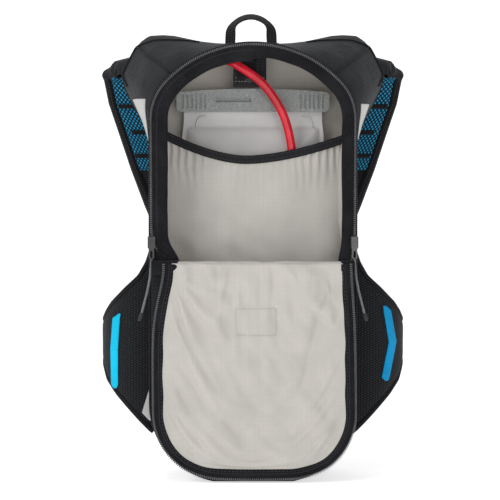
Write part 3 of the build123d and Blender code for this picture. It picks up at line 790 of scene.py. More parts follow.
def coil(name, path, inward, y_front, material, pitch=2.3, reach=3.0, height=1.6):
    """Zip teeth: a rounded bar every pitch, lying across the zip's edge."""
    count = int(length_of(path) / pitch)
    places = resample(path, count)
    aims = resample(inward, count) - places
    aims = unit(aims)
    verts, faces = [], []
    turns = np.linspace(0, 2 * math.pi, 8, endpoint=False)
    along = np.gradient(places, axis=0)
    along = unit(along)
    for place_at, aim, tangent in zip(places, aims, along):
        base = len(verts)
        for reach_share, fat in ((0.0, 0.55), (0.12, 1.0), (0.75, 0.9), (1.0, 0.5)):
            centre = place_at + aim * reach * reach_share
            for turn in turns:
                offset = tangent * math.cos(turn) * pitch * 0.33 * fat
                y = y_front + height / 2 - math.sin(turn) * height / 2 * fat
                verts.append((centre[0] + offset[0], y, centre[1] + offset[1]))
        for ring in range(3):
            for k in range(8):
                a, b = base + ring * 8 + k, base + ring * 8 + (k + 1) % 8
                faces.append((a, b, b + 8, a + 8))
        faces += [tuple(base + k for k in range(7, -1, -1)), tuple(base + 24 + k for k in range(8))]
    return build(name, verts, faces, material)


def at_depth(path, y):
    """A path in x and z, at one depth."""
    path = np.asarray(path)
    return np.stack([path[:, 0], np.full(len(path), y), path[:, 1]], axis=1)


def uneven(path, inward, amount, seed):
    """A path whose edge wanders a little, as soft binding does."""
    drift = np.array([amount * wrinkle(x, 0, z, 26, seed) for x, z in path])
    aims = np.asarray(inward) - np.asarray(path)
    aims = unit(aims)
    return path + aims * drift[:, None]


def zip_side(prefix, path, outer, inner_width, tape_front, tape_back, body, nodes, fat):
    """Border, coil and stitching for one half of the zip."""
    tape_node, teeth_node = nodes
    inner = uneven(path(inner_width), path(inner_width + 4.0), 1.3, 9.0)
    right_side = (inner[:, 0] > 0)[:, None] * 1.0
    if fat > 1:
        inner = inner + right_side * (path(inner_width - 4.0) - path(inner_width))
    border = ruled(f"{prefix}_border", outer, inner,
                   ribbon_section(tape_front - 0.6, tape_back, crown=fat, points=13), FLEECE)
    place(border, body, "zip_tape", tape_node)
    welt = ruled(f"{prefix}_welt", path(6.6), path(8.6),
                 ribbon_section(tape_front - 1.7, tape_front - 0.2, roll=0.3, crown=0.4, points=7), TAPE)
    place(welt, body, "zip_tape")
    teeth = coil(f"{prefix}_coil", path(-0.3), path(4.4), tape_front - 1.9, TEETH)
    place(teeth, body, "zip_teeth", teeth_node)
    normals = np.array([[0.0, -1.0, 0.0]] * 400)
    line = stitches(f"{prefix}_stitches", at_depth(path(9.9), tape_front - 1.15), normals,
                    THREAD, pitch=4.2, length=3.0, width=0.8, height=0.5)
    place(line, body, "zip_tape")


def upper_path(inset):
    return opening_path(inset, HINGE_Z + 2)


zip_side("opening", upper_path, opening_path(1.6, HINGE_Z + 2, 0.0), 19.5, TAPE_Y, FRONT_Y, "pack",
         ("zip_tape_body", "zip_teeth_body"), 1.6)
zip_side("flap", flap_path, flap_path(1.6), 12.0, FLAP_Y - 1.0, FLAP_Y + 0.8, "front_flap",
         ("flap_zip_tape", "flap_zip_teeth"), 0.9)


# ------------------------------------------------------------------ cloth panels
def relax(obj, pinned, frames=30, grow=0.06, gravity=0.5, bending=0.25, damp=3.0):
    """Lets a panel cut a little too large settle into folds, with its pinned points held."""
    group = obj.vertex_groups.new(name="sewn")
    group.add([int(i) for i in pinned], 1.0, "REPLACE")
    cloth = obj.modifiers.new("settle", "CLOTH")
    settings = cloth.settings
    settings.quality = 6
    settings.mass = 0.12
    settings.tension_stiffness = 20
    settings.compression_stiffness = 20
    settings.shear_stiffness = 8
    settings.bending_stiffness = bending
    settings.tension_damping = damp
    settings.compression_damping = damp
    settings.air_damping = 4
    settings.shrink_min = -grow
    settings.vertex_group_mass = "sewn"
    settings.effector_weights.gravity = gravity
    cloth.collision_settings.use_collision = False
    cloth.point_cache.frame_start = 1
    cloth.point_cache.frame_end = frames
    scene = bpy.context.scene
    for frame_number in range(1, frames + 1):
        scene.frame_set(frame_number)
    apply_modifiers(obj)
    scene.frame_set(1)


def filled_panel(name, left, right, rows, columns, y, material, thick=0.0):
    """A panel between two side lines x = left(z), right(z), for the heights in rows."""
    points = []
    for z in rows:
        xs = np.linspace(left(z), right(z), columns)
        points.append([(x, y, z) for x in xs])
    return sheet_surface(name, np.array(points), material, thick)


def side_lines(path):
    """Left and right x at a height, from a path that climbs, crosses over and comes down."""
    split = int(np.argmax(path[:, 1])) if path[0, 1] < path[len(path) // 2, 1] else int(np.argmin(path[:, 1]))
    first, last = path[:split + 1], path[split:]
    first, last = first[np.argsort(first[:, 1])], last[np.argsort(last[:, 1])]
    return (lambda z: float(np.interp(z, first[:, 1], first[:, 0])),
            lambda z: float(np.interp(z, last[:, 1], last[:, 0])))


def vertex_array(obj):
    co = np.zeros(len(obj.data.vertices) * 3, np.float32)
    obj.data.vertices.foreach_get("co", co)
    return co.reshape(-1, 3).astype(float) / MM


def set_vertices(obj, points):
    obj.data.vertices.foreach_set("co", (np.asarray(points, float) * MM).astype(np.float32).ravel())
    obj.data.update()


def solidify(obj, thick):
    solid = obj.modifiers.new("thickness", "SOLIDIFY")
    solid.thickness = thick * MM
    solid.offset = 0
    apply_modifiers(obj)


def edge_distance(points, outline):
    """How far each point in x and z is from an outline."""
    outline = np.asarray(outline)
    result = np.full(len(points), 1e9)
    for start in range(0, len(outline), 8):
        delta = points[:, None, :] - outline[None, start:start + 8, :]
        result = np.minimum(result, np.sqrt((delta ** 2).sum(axis=2)).min(axis=1))
    return result


def lining_fold(x, z):
    """Long soft folds that run down and to the right across the flap's lining."""
    lean = math.radians(64 - 14 * min(1.0, max(0.0, (x + 60) / 160)))
    across = x * math.sin(lean) + (z - 120) * math.cos(lean)
    along = -x * math.cos(lean) + (z - 120) * math.sin(lean)
    broad = noise.noise(Vector((across / 24.0, along / 120.0, 4.2)))
    narrow = noise.noise(Vector((across / 11.0, along / 70.0, 9.7)))
    sharp = 1 - 2.2 * abs(noise.noise(Vector((across / 34.0, along / 140.0, 1.3))))
    fan = math.exp(-(((x + 62) / 46) ** 2 + ((z - 190) / 60) ** 2))
    turn = math.atan2(232 - z, x + 92)
    rays = math.sin(turn * 17.0) * fan
    return 0.95 * broad + 0.35 * narrow + 0.55 * max(0.0, sharp) + 0.5 * rays


def crumple(x, z):
    """Small creases, stronger near the flap's sides where the lining is gathered in."""
    side = min(1.0, (abs(x - 4) / 100.0) ** 3)
    coarse = noise.noise(Vector((x / 14.0, z / 7.5, 2.0)))
    fine = noise.noise(Vector((x / 9.0, z / 9.0, 6.0)))
    return side * coarse + 0.25 * fine


def make_flap_fabric():
    """The flap's black outer fabric and its loose grey lining."""
    outline = flap_path(1.0)
    left, right = side_lines(outline)
    heights = np.concatenate([np.linspace(HINGE_Z - 1, FLAP_LOW + 2, 90)])
    shell = filled_panel("flap_outer", left, right, heights, 60, FLAP_Y + 2.0, SHELL, thick=1.6)
    place(shell, "front_flap", "shell_fabric", "flap_shell")

    edge = flap_path(9.0)
    left, right = side_lines(edge)
    low = edge[:, 1].min()
    # rows bunch up near the rounded foot, where the sides run in fast
    share = np.linspace(0, 1, 96)
    heights = HINGE_Z + 1 + (low + 0.4 - HINGE_Z - 1) * np.sin(share * math.pi / 2) ** 0.9
    columns = 88
    front = FLAP_Y - 0.6
    obj = filled_panel("flap_lining_sheet", left, right, heights, columns, front, LINING)
    flat = vertex_array(obj)
    visible = np.vstack([flap_path(12.0), [(100.0, HINGE_Z + 8)], [(-88.0, HINGE_Z + 8)]])
    depth = edge_distance(flat[:, [0, 2]], resample(visible, 500, closed=True))
    inside = np.clip(depth / 16, 0, 1)
    points = flat.copy()
    for i, (x, y, z) in enumerate(flat):
        points[i, 1] -= inside[i] * (1.0 + 1.6 * lining_fold(x, z))
    set_vertices(obj, points)
    rim = [i for i in range(len(points)) if depth[i] < 1.0 or i % columns in (0, columns - 1)
           or i < columns or i >= len(points) - columns]
    relax(obj, rim)
    settled = vertex_array(obj)
    hold = 0.75 * np.clip(depth / 18, 0, 1)[:, None] ** 0.8
    points = flat + (settled - flat) * hold
    for i, (x, y, z) in enumerate(flat):
        points[i, 1] -= inside[i] ** 1.5 * (1.3 + 5.0 * lining_fold(x, z) + 1.9 * crumple(x, z))
    points[:, 1] = np.minimum(points[:, 1], front + 0.15)
    points[:, 1] = np.maximum(points[:, 1], front - 9.0)
    set_vertices(obj, points)
    subdivide(obj)
    solidify(obj, 0.8)
    place(obj, "front_flap", "lining_fabric", "flap_lining")

    # a small patch sewn under the lining, whose outline shows through
    patch = [(-19.0, 192.5), (25.0, 192.5), (25.0, 163.0), (-19.0, 163.0)]
    surface = vertex_array(obj)
    loop = resample(np.array(patch), 150, closed=True)
    line = []
    for x, z in loop:
        gap = (surface[:, 0] - x) ** 2 + (surface[:, 2] - z) ** 2
        near = np.argsort(gap)[:6]
        line.append((x, surface[near, 1].min() - 0.12, z))
    line = np.array(line)
    for step in range(4):
        line[:, 1] = (np.roll(line[:, 1], 1) + 2 * line[:, 1] + np.roll(line[:, 1], -1)) / 4
    ridge = rod("lining_patch_edge", line, 0.35, LINING, closed=True, sides=8)
    place(ridge, "front_flap", "lining_fabric")


make_flap_fabric()


# ------------------------------------------------------------------ the bag's body
REAR_EDGE = REAR_Y - 12.0


def outline_ring(name, inset, y_front, y_back, picks, material, bulge=0.0, seed=0.0, thick=0.0,
                 crease=1.0, rows=26):
    """A length of the fabric ring around the bag, between two depths."""
    outline = body_outline(inset, 300)
    centre = np.roll(outline, 1, axis=0) - np.roll(outline, -1, axis=0)
    outward = np.stack([centre[:, 1], -centre[:, 0]], axis=1)
    outward = unit(outward)
    points = []
    for y in np.linspace(y_front, y_back, rows):
        share = (y - y_front) / (y_back - y_front)
        arch_share = math.sin(math.pi * share)
        row = []
        for i in picks:
            x, z = outline[i % 300]
            nx, nz = outward[i % 300]
            push = arch_share * (bulge + crease * wrinkle(x, y, z, 34, seed)
                                 + 0.4 * crease * wrinkle(x, y, z, 13, seed + 5))
            row.append((x + nx * push, y, z + nz * push))
        points.append(row)
    return sheet_surface(name, np.array(points), material, thick)


def ring_span(z_low, z_high, side=0):
    """Indices of the closed outline between two heights, on one side, or on both."""
    outline = body_outline(0, 300)
    chosen = [i for i in range(300) if z_low <= outline[i, 1] <= z_high
              and (side == 0 or outline[i, 0] * side > 0)]
    for start in range(len(chosen)):
        if (chosen[start] - chosen[start - 1]) % 300 > 1:
            chosen = chosen[start:] + chosen[:start]
            break
    return [chosen[0] - 1] + chosen + [chosen[-1] + 1]


def make_body():
    panels = (
        ("top_gusset", ring_span(SPRING_Z, 600), "top_panel", 1.1),
        ("side_gusset_left", ring_span(BASE_CORNER_R, SPRING_Z, -1), "side_panel_left", 2.2),
        ("side_gusset_right", ring_span(BASE_CORNER_R, SPRING_Z, 1), "side_panel_right", 3.7),
        ("base_gusset", ring_span(-10, BASE_CORNER_R), "base_panel", 4.1),
    )
    for name, picks, node, seed in panels:
        panel = outline_ring(name, 0.8, FRONT_Y, REAR_EDGE + 1, picks, SHELL, bulge=0.6, seed=seed,
                             thick=1.6, crease=1.4)
        place(panel, "pack", "shell_fabric", node)
    for index, (y, radius) in enumerate(((FRONT_Y + 0.8, 1.5), (REAR_EDGE + 0.6, 2.0))):
        path = body_outline(-0.4, 300)
        piping = rod(f"piping_{index}", at_depth(path, y), radius, BINDING, closed=True)
        place(piping, "pack", "zip_tape")


make_body()


def dome(x, z, half_x, low, high, power=2.4):
    """1 in the middle of a rectangle and 0 at its edges, for crowned pads."""
    u = min(1.0, abs(x) / half_x)
    v = min(1.0, abs(2 * (z - low) / (high - low) - 1))
    return max(0.0, (1 - u ** power) * (1 - v ** power)) ** 0.5


def arch_rows(inset, z_low, z_high, rows):
    """Heights with the outline's left and right x at each."""
    outline = body_outline(inset, 600)
    left = outline[outline[:, 0] <= 0]
    left = left[np.argsort(left[:, 1])]
    limit = BAG_HEIGHT - inset - 0.3
    share = np.linspace(0, 1, rows)
    heights = z_low + (min(z_high, limit) - z_low) * np.sin(share * math.pi / 2)
    heights = np.where(z_high < limit, z_low + (z_high - z_low) * share, heights)
    return [(z, float(np.interp(z, left[:, 1], left[:, 0]))) for z in heights]


def make_back():
    """The padded back panel, its plastic sheet's cover and the pads on the wearer's side."""
    points = []
    for z, x_left in arch_rows(1.0, 2.0, BAG_HEIGHT, 70):
        row = []
        for share in np.linspace(-1, 1, 60):
            x = -x_left * share
            swell = dome(x, z, HALF_WIDTH, 0, BAG_HEIGHT, 8.0)
            row.append((x, REAR_Y - 2.5 + 2.0 * swell + 0.5 * wrinkle(x, 0, z, 30, 7.7), z))
        points.append(row)
    panel = sheet_surface("back_cover", np.array(points), BLACK_MESH, thick=0.0)
    solid = panel.modifiers.new("foam", "SOLIDIFY")
    solid.thickness = 9.0 * MM
    solid.offset = 1.0
    apply_modifiers(panel)
    points_now = vertex_array(panel)
    if points_now[:, 1].max() > REAR_Y + 3:
        shift = points_now[:, 1].max() - REAR_Y - 0.5
        points_now[:, 1] -= shift
        set_vertices(panel, points_now)
    place(panel, "pack", "pad_fabric", "back_panel")

    for name, x, half, low, high in (("back_pad_left", -52.0, 33.0, 150.0, 400.0),
                                     ("back_pad_right", 52.0, 33.0, 150.0, 400.0),
                                     ("back_pad_lumbar", 0.0, 85.0, 40.0, 132.0)):
        grid = []
        middle, tall = (low + high) / 2, (high - low) / 2
        for v in np.linspace(-1, 1, 46):
            row = []
            for u in np.linspace(-1, 1, 26):
                # squares mapped to rounded ones, so that the corners curve
                px = u * half * (1 - 0.16 * (half / max(half, 30)) * v * v * abs(u))
                pz = middle + v * (tall - 6.0 * (1 - math.sqrt(max(0.0, 1 - u * u * 0.98))))
                rise = max(0.0, (1 - abs(u) ** 3.2)) ** 0.5 * max(0.0, 1 - abs(v) ** 9) ** 0.5
                channel = 0.0
                if half < 50:
                    for cut in (-0.5, 0.0, 0.5):
                        channel += 1.8 * math.exp(-((v - cut) / 0.025) ** 2)
                else:
                    for cut in (-0.34, 0.34):
                        channel += 1.8 * math.exp(-((u - cut) / 0.035) ** 2)
                row.append((x + px, REAR_Y - 0.6 + max(0.0, 8.2 * rise - channel * (rise > 0.2)), pz))
            grid.append(row)
        pad = sheet_surface(name, np.array(grid)[:, ::-1], BLACK_MESH, thick=1.2)
        place(pad, "pack", "pad_fabric")
    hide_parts("back_pads")


make_back()


def make_lining():
    """Inner walls and back wall of the main compartment, with loose folds."""
    outline = body_outline(4.2, 300)
    centre = np.roll(outline, 1, axis=0) - np.roll(outline, -1, axis=0)
    outward = np.stack([centre[:, 1], -centre[:, 0]], axis=1)
    outward = unit(outward)
    rows = []
    depths = np.linspace(FRONT_Y + 1.0, REAR_EDGE - 3.0, 30)
    for y in depths:
        share = (y - depths[0]) / (depths[-1] - depths[0])
        row = []
        for i in range(301):
            x, z = outline[i % 300]
            nx, nz = outward[i % 300]
            slack = math.sin(math.pi * share) ** 0.8
            push = slack * (2.0 + 2.0 * wrinkle(x, y * 0.4, z, 40, 6.0) + 0.8 * wrinkle(x, y, z, 15, 2.0))
            if x > 0 and 235 < z < 395:
                # the loose fold down the right side of the opening
                fold = math.sin(math.pi * (z - 235) / 160) ** 0.7
                push += fold * (13.0 * math.exp(-((share - 0.42) / 0.16) ** 2)
                                + 5.0 * math.exp(-((share - 0.75) / 0.10) ** 2))
            if x < 0 and 250 < z < 380:
                fold = math.sin(math.pi * (z - 250) / 130)
                push += fold * 5.0 * math.exp(-((share - 0.5) / 0.2) ** 2)
            row.append((x - nx * push, y, z - nz * push))
        rows.append(row)
    walls = sheet_surface("lining_walls", np.array(rows), LINING, thick=0.8)
    place(walls, "pack", "lining_fabric", "lining")

    points = []
    for z, x_left in arch_rows(3.5, 4.0, BAG_HEIGHT, 90):
        row = []
        for share in np.linspace(-1, 1, 76):
            x = -x_left * share
            hold = dome(x, z, HALF_WIDTH, 0, BAG_HEIGHT, 5.0)
            y = REAR_EDGE - 2.6 - hold * (0.8 + 1.3 * wrinkle(x * 0.8 + z * 0.5, 0, z, 30, 4.0)
                                          + 0.5 * wrinkle(x, 0, z, 12, 9.0))
            row.append((x, min(y, REAR_EDGE - 2.5), z))
        points.append(row)
    wall = sheet_surface("lining_back", np.array(points), LINING, thick=0.6)
    place(wall, "pack", "lining_fabric")


make_lining()


def make_lower_front():
    """The panel below the opening, and the cloth that folds over its edge onto the flap."""
    points = []
    for z, x_left in arch_rows(0.8, 2.0, HINGE_Z - 4, 40):
        row = []
        for share in np.linspace(-1, 1, 46):
            x = -x_left * share
            row.append((x, FRONT_Y - 1.4 - 0.7 * wrinkle(x, 0, z, 32, 12.0), z))
        points.append(row)
    panel = sheet_surface("front_lower", np.array(points), SHELL, thick=1.6)
    place(panel, "pack", "shell_fabric", "lower_front_panel")

    half_left, half_right = 84.0, 98.0
    over = [(FRONT_Y + 4.0, HINGE_Z - 26), (FRONT_Y + 3.0, HINGE_Z - 12), (FRONT_Y + 0.5, HINGE_Z - 3.5),
            (FRONT_Y - 4.0, HINGE_Z + 1.6), (FRONT_Y - 8.5, HINGE_Z + 2.6)]
    spans = (
        ("fold_strip", -half_left, half_right, LINING, "lining_fabric", 0.8, 0.0,
         [(FLAP_Y + 0.6, HINGE_Z + 1.6), (FLAP_Y - 0.2, HINGE_Z - 2.0), (FLAP_Y + 0.2, HINGE_Z - 9.0)]),
        ("fold_edge_left", -111.5, -half_left + 1.5, FLEECE, "zip_tape", 1.4, 0.9,
         [(FLAP_Y + 0.2, HINGE_Z + 1.4), (FLAP_Y - 0.9, HINGE_Z - 2.5), (FLAP_Y + 0.3, HINGE_Z - 12.0)]),
        ("fold_edge_right", half_right - 1.5, 111.5, FLEECE, "zip_tape", 1.4, 0.9,
         [(FLAP_Y + 0.2, HINGE_Z + 1.4), (FLAP_Y - 0.9, HINGE_Z - 2.5), (FLAP_Y + 0.3, HINGE_Z - 12.0)]),
    )
    for name, x_low, x_high, cloth, slot, thick, proud, tail in spans:
        section = resample(np.array(over + tail), 24)
        rows = []
        for y, z in section:
            row = []
            for x in np.linspace(x_low, x_high, 90 if name == "fold_strip" else 16):
                inner = min(1.0, max(0.0, min(x - x_low, x_high - x) / 14.0)) if name == "fold_strip" else 0.6
                ripple = inner * (0.9 * wrinkle(x, 0, z * 0.4, 22, 5.0) + 0.4 * wrinkle(x, y, z, 9, 1.0))
                lift = proud * (1.0 if y > FLAP_Y + 3 else 0.4)
                row.append((x, y - 0.3 * ripple - lift * 0.4, z + ripple + lift))
            rows.append(row)
        fold = sheet_surface(name, np.array(rows), cloth, thick=thick)
        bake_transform(fold)

    # the outer cloth of the same fold, which hides most of the lining when the flap is shut
    under = [(FRONT_Y - 0.9, HINGE_Z - 12), (FRONT_Y - 1.1, HINGE_Z - 4.0), (FRONT_Y - 2.2, HINGE_Z - 1.8),
             (FLAP_Y + 4.6, HINGE_Z - 1.7), (FLAP_Y + 3.9, HINGE_Z - 4.0), (FLAP_Y + 3.8, HINGE_Z - 12)]
    section = resample(np.array(under), 24)
    across = np.linspace(-104, 104, 60)
    rows = [[(x, y, z + 0.3 * wrinkle(x, 0, z, 22, 5.0)) for x in across] for y, z in section]
    fold = sheet_surface("fold_shell", np.array(rows), SHELL, thick=0.8)
    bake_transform(fold)


make_lower_front()


# ------------------------------------------------------------------ bladder, clip and sleeve
def make_bladder():
    """A filled film bag: two crowned faces welded at their edges, flat where the clip holds it."""
    half, low, high, middle = 80.0, 95.0, 421.0, 23.0
    corner = 22.0
    grid_front, grid_rear = [], []
    for z in np.concatenate([np.linspace(low, low + 30, 14)[:-1], np.linspace(low + 30, 380, 50)[:-1],
                             np.linspace(380, high, 16)]):
        inset = 0.0
        if z < low + corner:
            drop = corner - (z - low)
            inset = corner - math.sqrt(max(0.0, corner ** 2 - drop ** 2))
        narrow = 2.0 if z > 398 else 2.0 * max(0.0, (z - 380) / 18)
        width = half - inset - narrow
        front, rear = [], []
        for u in np.sin(np.linspace(-1, 1, 46) * math.pi / 2):
            x = u * width
            weld = 5.0
            from_side = (1 - abs(u)) * width - weld
            from_low = z - low - weld
            from_high = 391.0 - z
            depth = max(0.0, min(from_side, from_low, from_high))
            fat = 11.0 * min(1.0, (depth / 26.0)) ** 0.55 if depth > 0 else 0.0
            pucker = 0.8 * wrinkle(x, 0, z, 20, 3.0) * min(1.0, depth / 8)
            lip = 0.9
            front.append((x, middle - lip - max(0.0, fat - 0.9) - pucker * 0.6, z))
            rear.append((x, middle + lip + max(0.0, fat - 0.9) + pucker * 0.3, z))
        grid_front.append(front)
        grid_rear.append(rear)
    front, rear = np.array(grid_front), np.array(grid_rear)
    rows, columns = front.shape[:2]
    verts = np.vstack([front.reshape(-1, 3), rear.reshape(-1, 3)])
    faces = grid_faces(rows, columns)
    offset = rows * columns
    faces += [tuple(reversed(f)) for f in grid_faces(rows, columns, offset=offset)]
    rim = ([j for j in range(columns)] + [i * columns + columns - 1 for i in range(1, rows)]
           + [(rows - 1) * columns + j for j in range(columns - 2, -1, -1)]
           + [i * columns for i in range(rows - 2, 0, -1)])
    for k in range(len(rim)):
        a, b = rim[k], rim[(k + 1) % len(rim)]
        faces.append((b, a, a + offset, b + offset))
    bag = build("bladder_bag", verts, faces, FILM)
    subdivide(bag)
    place(bag, "pack", "bladder_film", "bladder")

    # the weld along the top and the stiffened panel under the clip
    xs = np.linspace(-70, 70, 60)
    line = np.stack([xs, np.full(60, middle - 2.0), 389.5 - 6.5 * (1 - (np.abs(xs) / 70) ** 2.5)], axis=1)
    weld = rod("bladder_weld", line, 1.0, FILM)
    place(weld, "pack", "bladder_film")
    for index, (x, turn) in enumerate(((-63, 1), (66, -1))):
        curve = [(x + turn * 10, middle - 2.2, 403), (x + turn * 3, middle - 2.4, 402),
                 (x, middle - 2.6, 398), (x - turn * 1.5, middle - 2.4, 391)]
        piece = rod(f"bladder_seam_{index}", resample(np.array(curve, float), 14), 0.8, FILM)
        place(piece, "pack", "bladder_film")


make_bladder()


SLEEVE_END_Z = 382.0
SLEEVE_MIDDLE_Z = 362.0
SLEEVE_HALF = 109.0


def sleeve_edge(x):
    """Height of the elastic's top edge, which sags between its ends."""
    share = min(1.0, abs(x + 8) / SLEEVE_HALF)
    climb = 15.0 if x < -8 else 0.0
    return SLEEVE_MIDDLE_Z - 3.0 + (SLEEVE_END_Z - SLEEVE_MIDDLE_Z + 3.0 + climb) * share ** 1.7


def make_sleeve():
    """The inner pocket that holds the bladder, gathered onto its elastic."""
    outline = body_outline(4.5, 600)
    left = outline[outline[:, 0] <= 0]
    left = left[np.argsort(left[:, 1])]
    points = []
    for share in np.linspace(0, 1, 92):
        row = []
        for u in np.linspace(-1, 1, 210):
            base = 8.0
            top = sleeve_edge(u * SLEEVE_HALF) - 3.0
            z = base + (top - base) * share
            x = u * -float(np.interp(z, left[:, 1], left[:, 0])) * 0.985
            near_top = max(0.0, 1 - (top - z) / 55.0)
            gather = 0.25 + 0.75 * min(1.0, max(0.0, (abs(u) - 0.42) / 0.2))
            pleat = math.sin(abs(u) * 78 + 2.0 * wrinkle(x, 0, z, 25, 2.0)) * near_top ** 1.5 * gather
            drape = 3.2 * wrinkle(x * 1.3, 0, z * 0.35, 34, 14.0) * min(1.0, (top - z) / 40)
            cross = 1.6 * wrinkle(x + z * 0.6, 0, z, 24, 6.0) * min(1.0, (top - z) / 30)
            swell = 7.0 * math.sin(math.pi * share) ** 0.7 * max(0.0, 1 - abs(u) ** 2.5)
            y = -7.5 - swell - 2.1 * pleat - drape - cross
            row.append((x, y, z))
        points.append(row)
    pocket = sheet_surface("sleeve_sheet", np.array(points), LINING, thick=0.7)
    place(pocket, "pack", "lining_fabric", "bladder_sleeve")

    xs = np.linspace(-SLEEVE_HALF + 1, SLEEVE_HALF - 1, 130)
    centres = np.array([(x, -9.4 - 0.5 * wrinkle(x, 0, 0, 18, 2.0), sleeve_edge(x) - 4.5) for x in xs])
    across, normals = frames_along(centres, up=(0.0, -1.0, 0.0))[1:]
    band = sweep("sleeve_band", centres, across, normals, lambda i: strap_profile(4.8, 2.2), ELASTIC)
    place(band, "pack", "elastic", "sleeve_elastic")
    for row, shift in enumerate((-2.6, 2.6)):
        path = centres + across * shift + normals * 1.25
        line = stitches(f"sleeve_stitches_{row}", path, normals, THREAD, pitch=3.2, length=2.3,
                        width=0.6, height=0.35)
        place(line, "pack", "elastic")


make_sleeve()


def make_hanger():
    """The webbing tab that hangs the bladder's clip, folded around its hook."""
    low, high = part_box("hang_strap")
    x = (low[0] + high[0]) / 2 / MM
    half = (high[0] - low[0]) / 2 / MM
    y = (low[1] + high[1]) / 2 / MM
    section = [(y + 2.0, high[2] / MM), (y - 0.4, high[2] / MM - 12), (y - 0.9, high[2] / MM - 24),
               (y, low[2] / MM + 4), (y + 1.2, low[2] / MM)]
    line = resample(np.array(section), 20)
    centres = np.array([(x, a, b) for a, b in line])
    across, normals = frames_along(centres, across=(1.0, 0.0, 0.0))[1:]
    strap = sweep("hanger_strap", centres, across, normals, lambda i: strap_profile(half, 2.2), WEBBING)
    place(strap, "pack", "webbing", "hang_strap")
    inner = centres[3:15]
    rib = sweep("hanger_overlay", inner + normals[3:15] * 0.1 + np.array([(-3.0, -1.7, 0.0)]), across[3:15],
                normals[3:15], lambda i: strap_profile(half * 0.55, 1.6), BINDING)
    place(rib, "pack", "webbing")
    rows = []
    for index, z in enumerate((high[2] / MM - 26.0, high[2] / MM - 30.0)):
        path = np.array([(x + s * (half - 3), y - 2.3, z) for s in np.linspace(-1, 1, 20)])
        rows.append(stitches(f"hanger_stitches_{index}", path, np.array([[0, -1.0, 0]] * 20), THREAD_GREY,
                             pitch=3.0, length=2.1, width=0.6, height=0.4))
        place(rows[-1], "pack", "webbing")


make_hanger()


def dress(node, material):
    """A CAD node whose shape is right gets its finish and a small softened edge."""
    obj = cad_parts[node]
    obj.data.materials.clear()
    obj.data.materials.append(material)
    bevel = obj.modifiers.new("soft_edge", "BEVEL")
    bevel.width = 0.35 * MM
    bevel.segments = 2
    bevel.limit_method = "ANGLE"
    bevel.angle_limit = math.radians(40)


for node, slot, material in (
    ("slide_clip", "clip_plastic", CLIP),
    ("hang_hook", "buckle_plastic", BUCKLE),
    ("bladder_outlet", "clip_plastic", CLIP),
    ("hose_port", "valve_rubber", RUBBER),
    ("back_stiffener", "stiffener_plastic", SHEET_PLASTIC),
    ("haul_anchor", "webbing", BUCKLE),
    ("zip_slider_left", "zip_metal", METAL),
    ("zip_slider_right", "zip_metal", METAL),
    ("zip_pull_left", "zip_metal", METAL),
    ("zip_pull_right", "zip_metal", METAL),
    ("ladder_lock_left", "buckle_plastic", BUCKLE),
    ("ladder_lock_right", "buckle_plastic", BUCKLE),
    ("sternum_socket", "buckle_plastic", BUCKLE),
    ("sternum_plug", "buckle_plastic", BUCKLE),
    ("belt_socket", "buckle_plastic", BUCKLE),
    ("belt_plug", "buckle_plastic", BUCKLE),
    ("tube_keepers", "elastic", RUBBER),
    ("valve_body", "valve_rubber", RUBBER),
    ("bite_valve", "valve_rubber", RUBBER),
):
    dress(node, material)


# ------------------------------------------------------------------ shoulder yokes
YOKE_LINE = [(-24.0, 484.6), (-42.0, 485.4), (-59.0, 487.4), (-87.0, 493.5), (-100.0, 494.5),
             (-115.0, 493.5), (-123.0, 488.0), (-131.0, 479.5), (-139.0, 466.0), (-146.0, 451.0),
             (-143.0, 436.0), (-135.0, 420.0), (-124.0, 400.0), (-114.5, 378.0)]


def grid_point(points, u, v):
    """A point on a grid surface, at shares u down its rows and v along them."""
    rows, columns = points.shape[:2]
    a, b = u * (rows - 1), v * (columns - 1)
    i, j = min(int(a), rows - 2), min(int(b), columns - 2)
    f, g = a - i, b - j
    return ((points[i, j] * (1 - g) + points[i, j + 1] * g) * (1 - f)
            + (points[i + 1, j] * (1 - g) + points[i + 1, j + 1] * g) * f)


def mirrored(points, sign):
    points = np.array(points, float)
    if sign > 0:
        points[..., 0] *= -1
    return points


def yoke_surface():
    """The left yoke's grid: rows run from the zip line, over the outer edge, to the rear."""
    outer = resample(np.array(YOKE_LINE) * (1.02, 1.0), 60)
    top = arch_top(0.0)
    top = np.vstack([[(-HALF_WIDTH, 374.0)], top])
    top = top[: np.argmax(top[:, 0] > -22)]
    inner = resample(top[::-1], 60)
    rows = []
    for share in np.linspace(0, 1, 44):
        row = []
        for k, ((ix, iz), (ox, oz)) in enumerate(zip(inner, outer)):
            along = k / 59
            if share < 0.72:
                s = share / 0.72
                lean = s ** 0.9
                x = ix + (ox - ix) * lean
                z = iz + (oz - iz) * lean
                y = FRONT_Y + 3.0 + (REAR_Y - 8.0 - FRONT_Y - 3.0) * s ** 1.25
                full = math.sin(math.pi * s) ** 0.7
                wide = math.sin(math.pi * along) ** 0.5
                puff = 2.2 * full * wide
                fold = 2.2 * full * wrinkle(x * 1.1 - z * 0.5, y * 0.5, z, 22, 11.0)
                fold += 0.9 * full * wrinkle(x, y, z, 9, 4.0)
                y -= puff + fold
                z += 0.35 * fold * wide
            else:
                s = (share - 0.72) / 0.28
                turn = s * math.pi / 2
                x = ox + (ix - ox) * 0.9 * (1 - math.cos(turn)) * s
                z = oz + (iz - oz) * 0.9 * (1 - math.cos(turn)) * s
                y = REAR_Y - 8.0 + 8.5 * math.sin(min(turn * 1.8, math.pi / 2))
            row.append((x, y, z))
        rows.append(row)
    return np.array(rows)


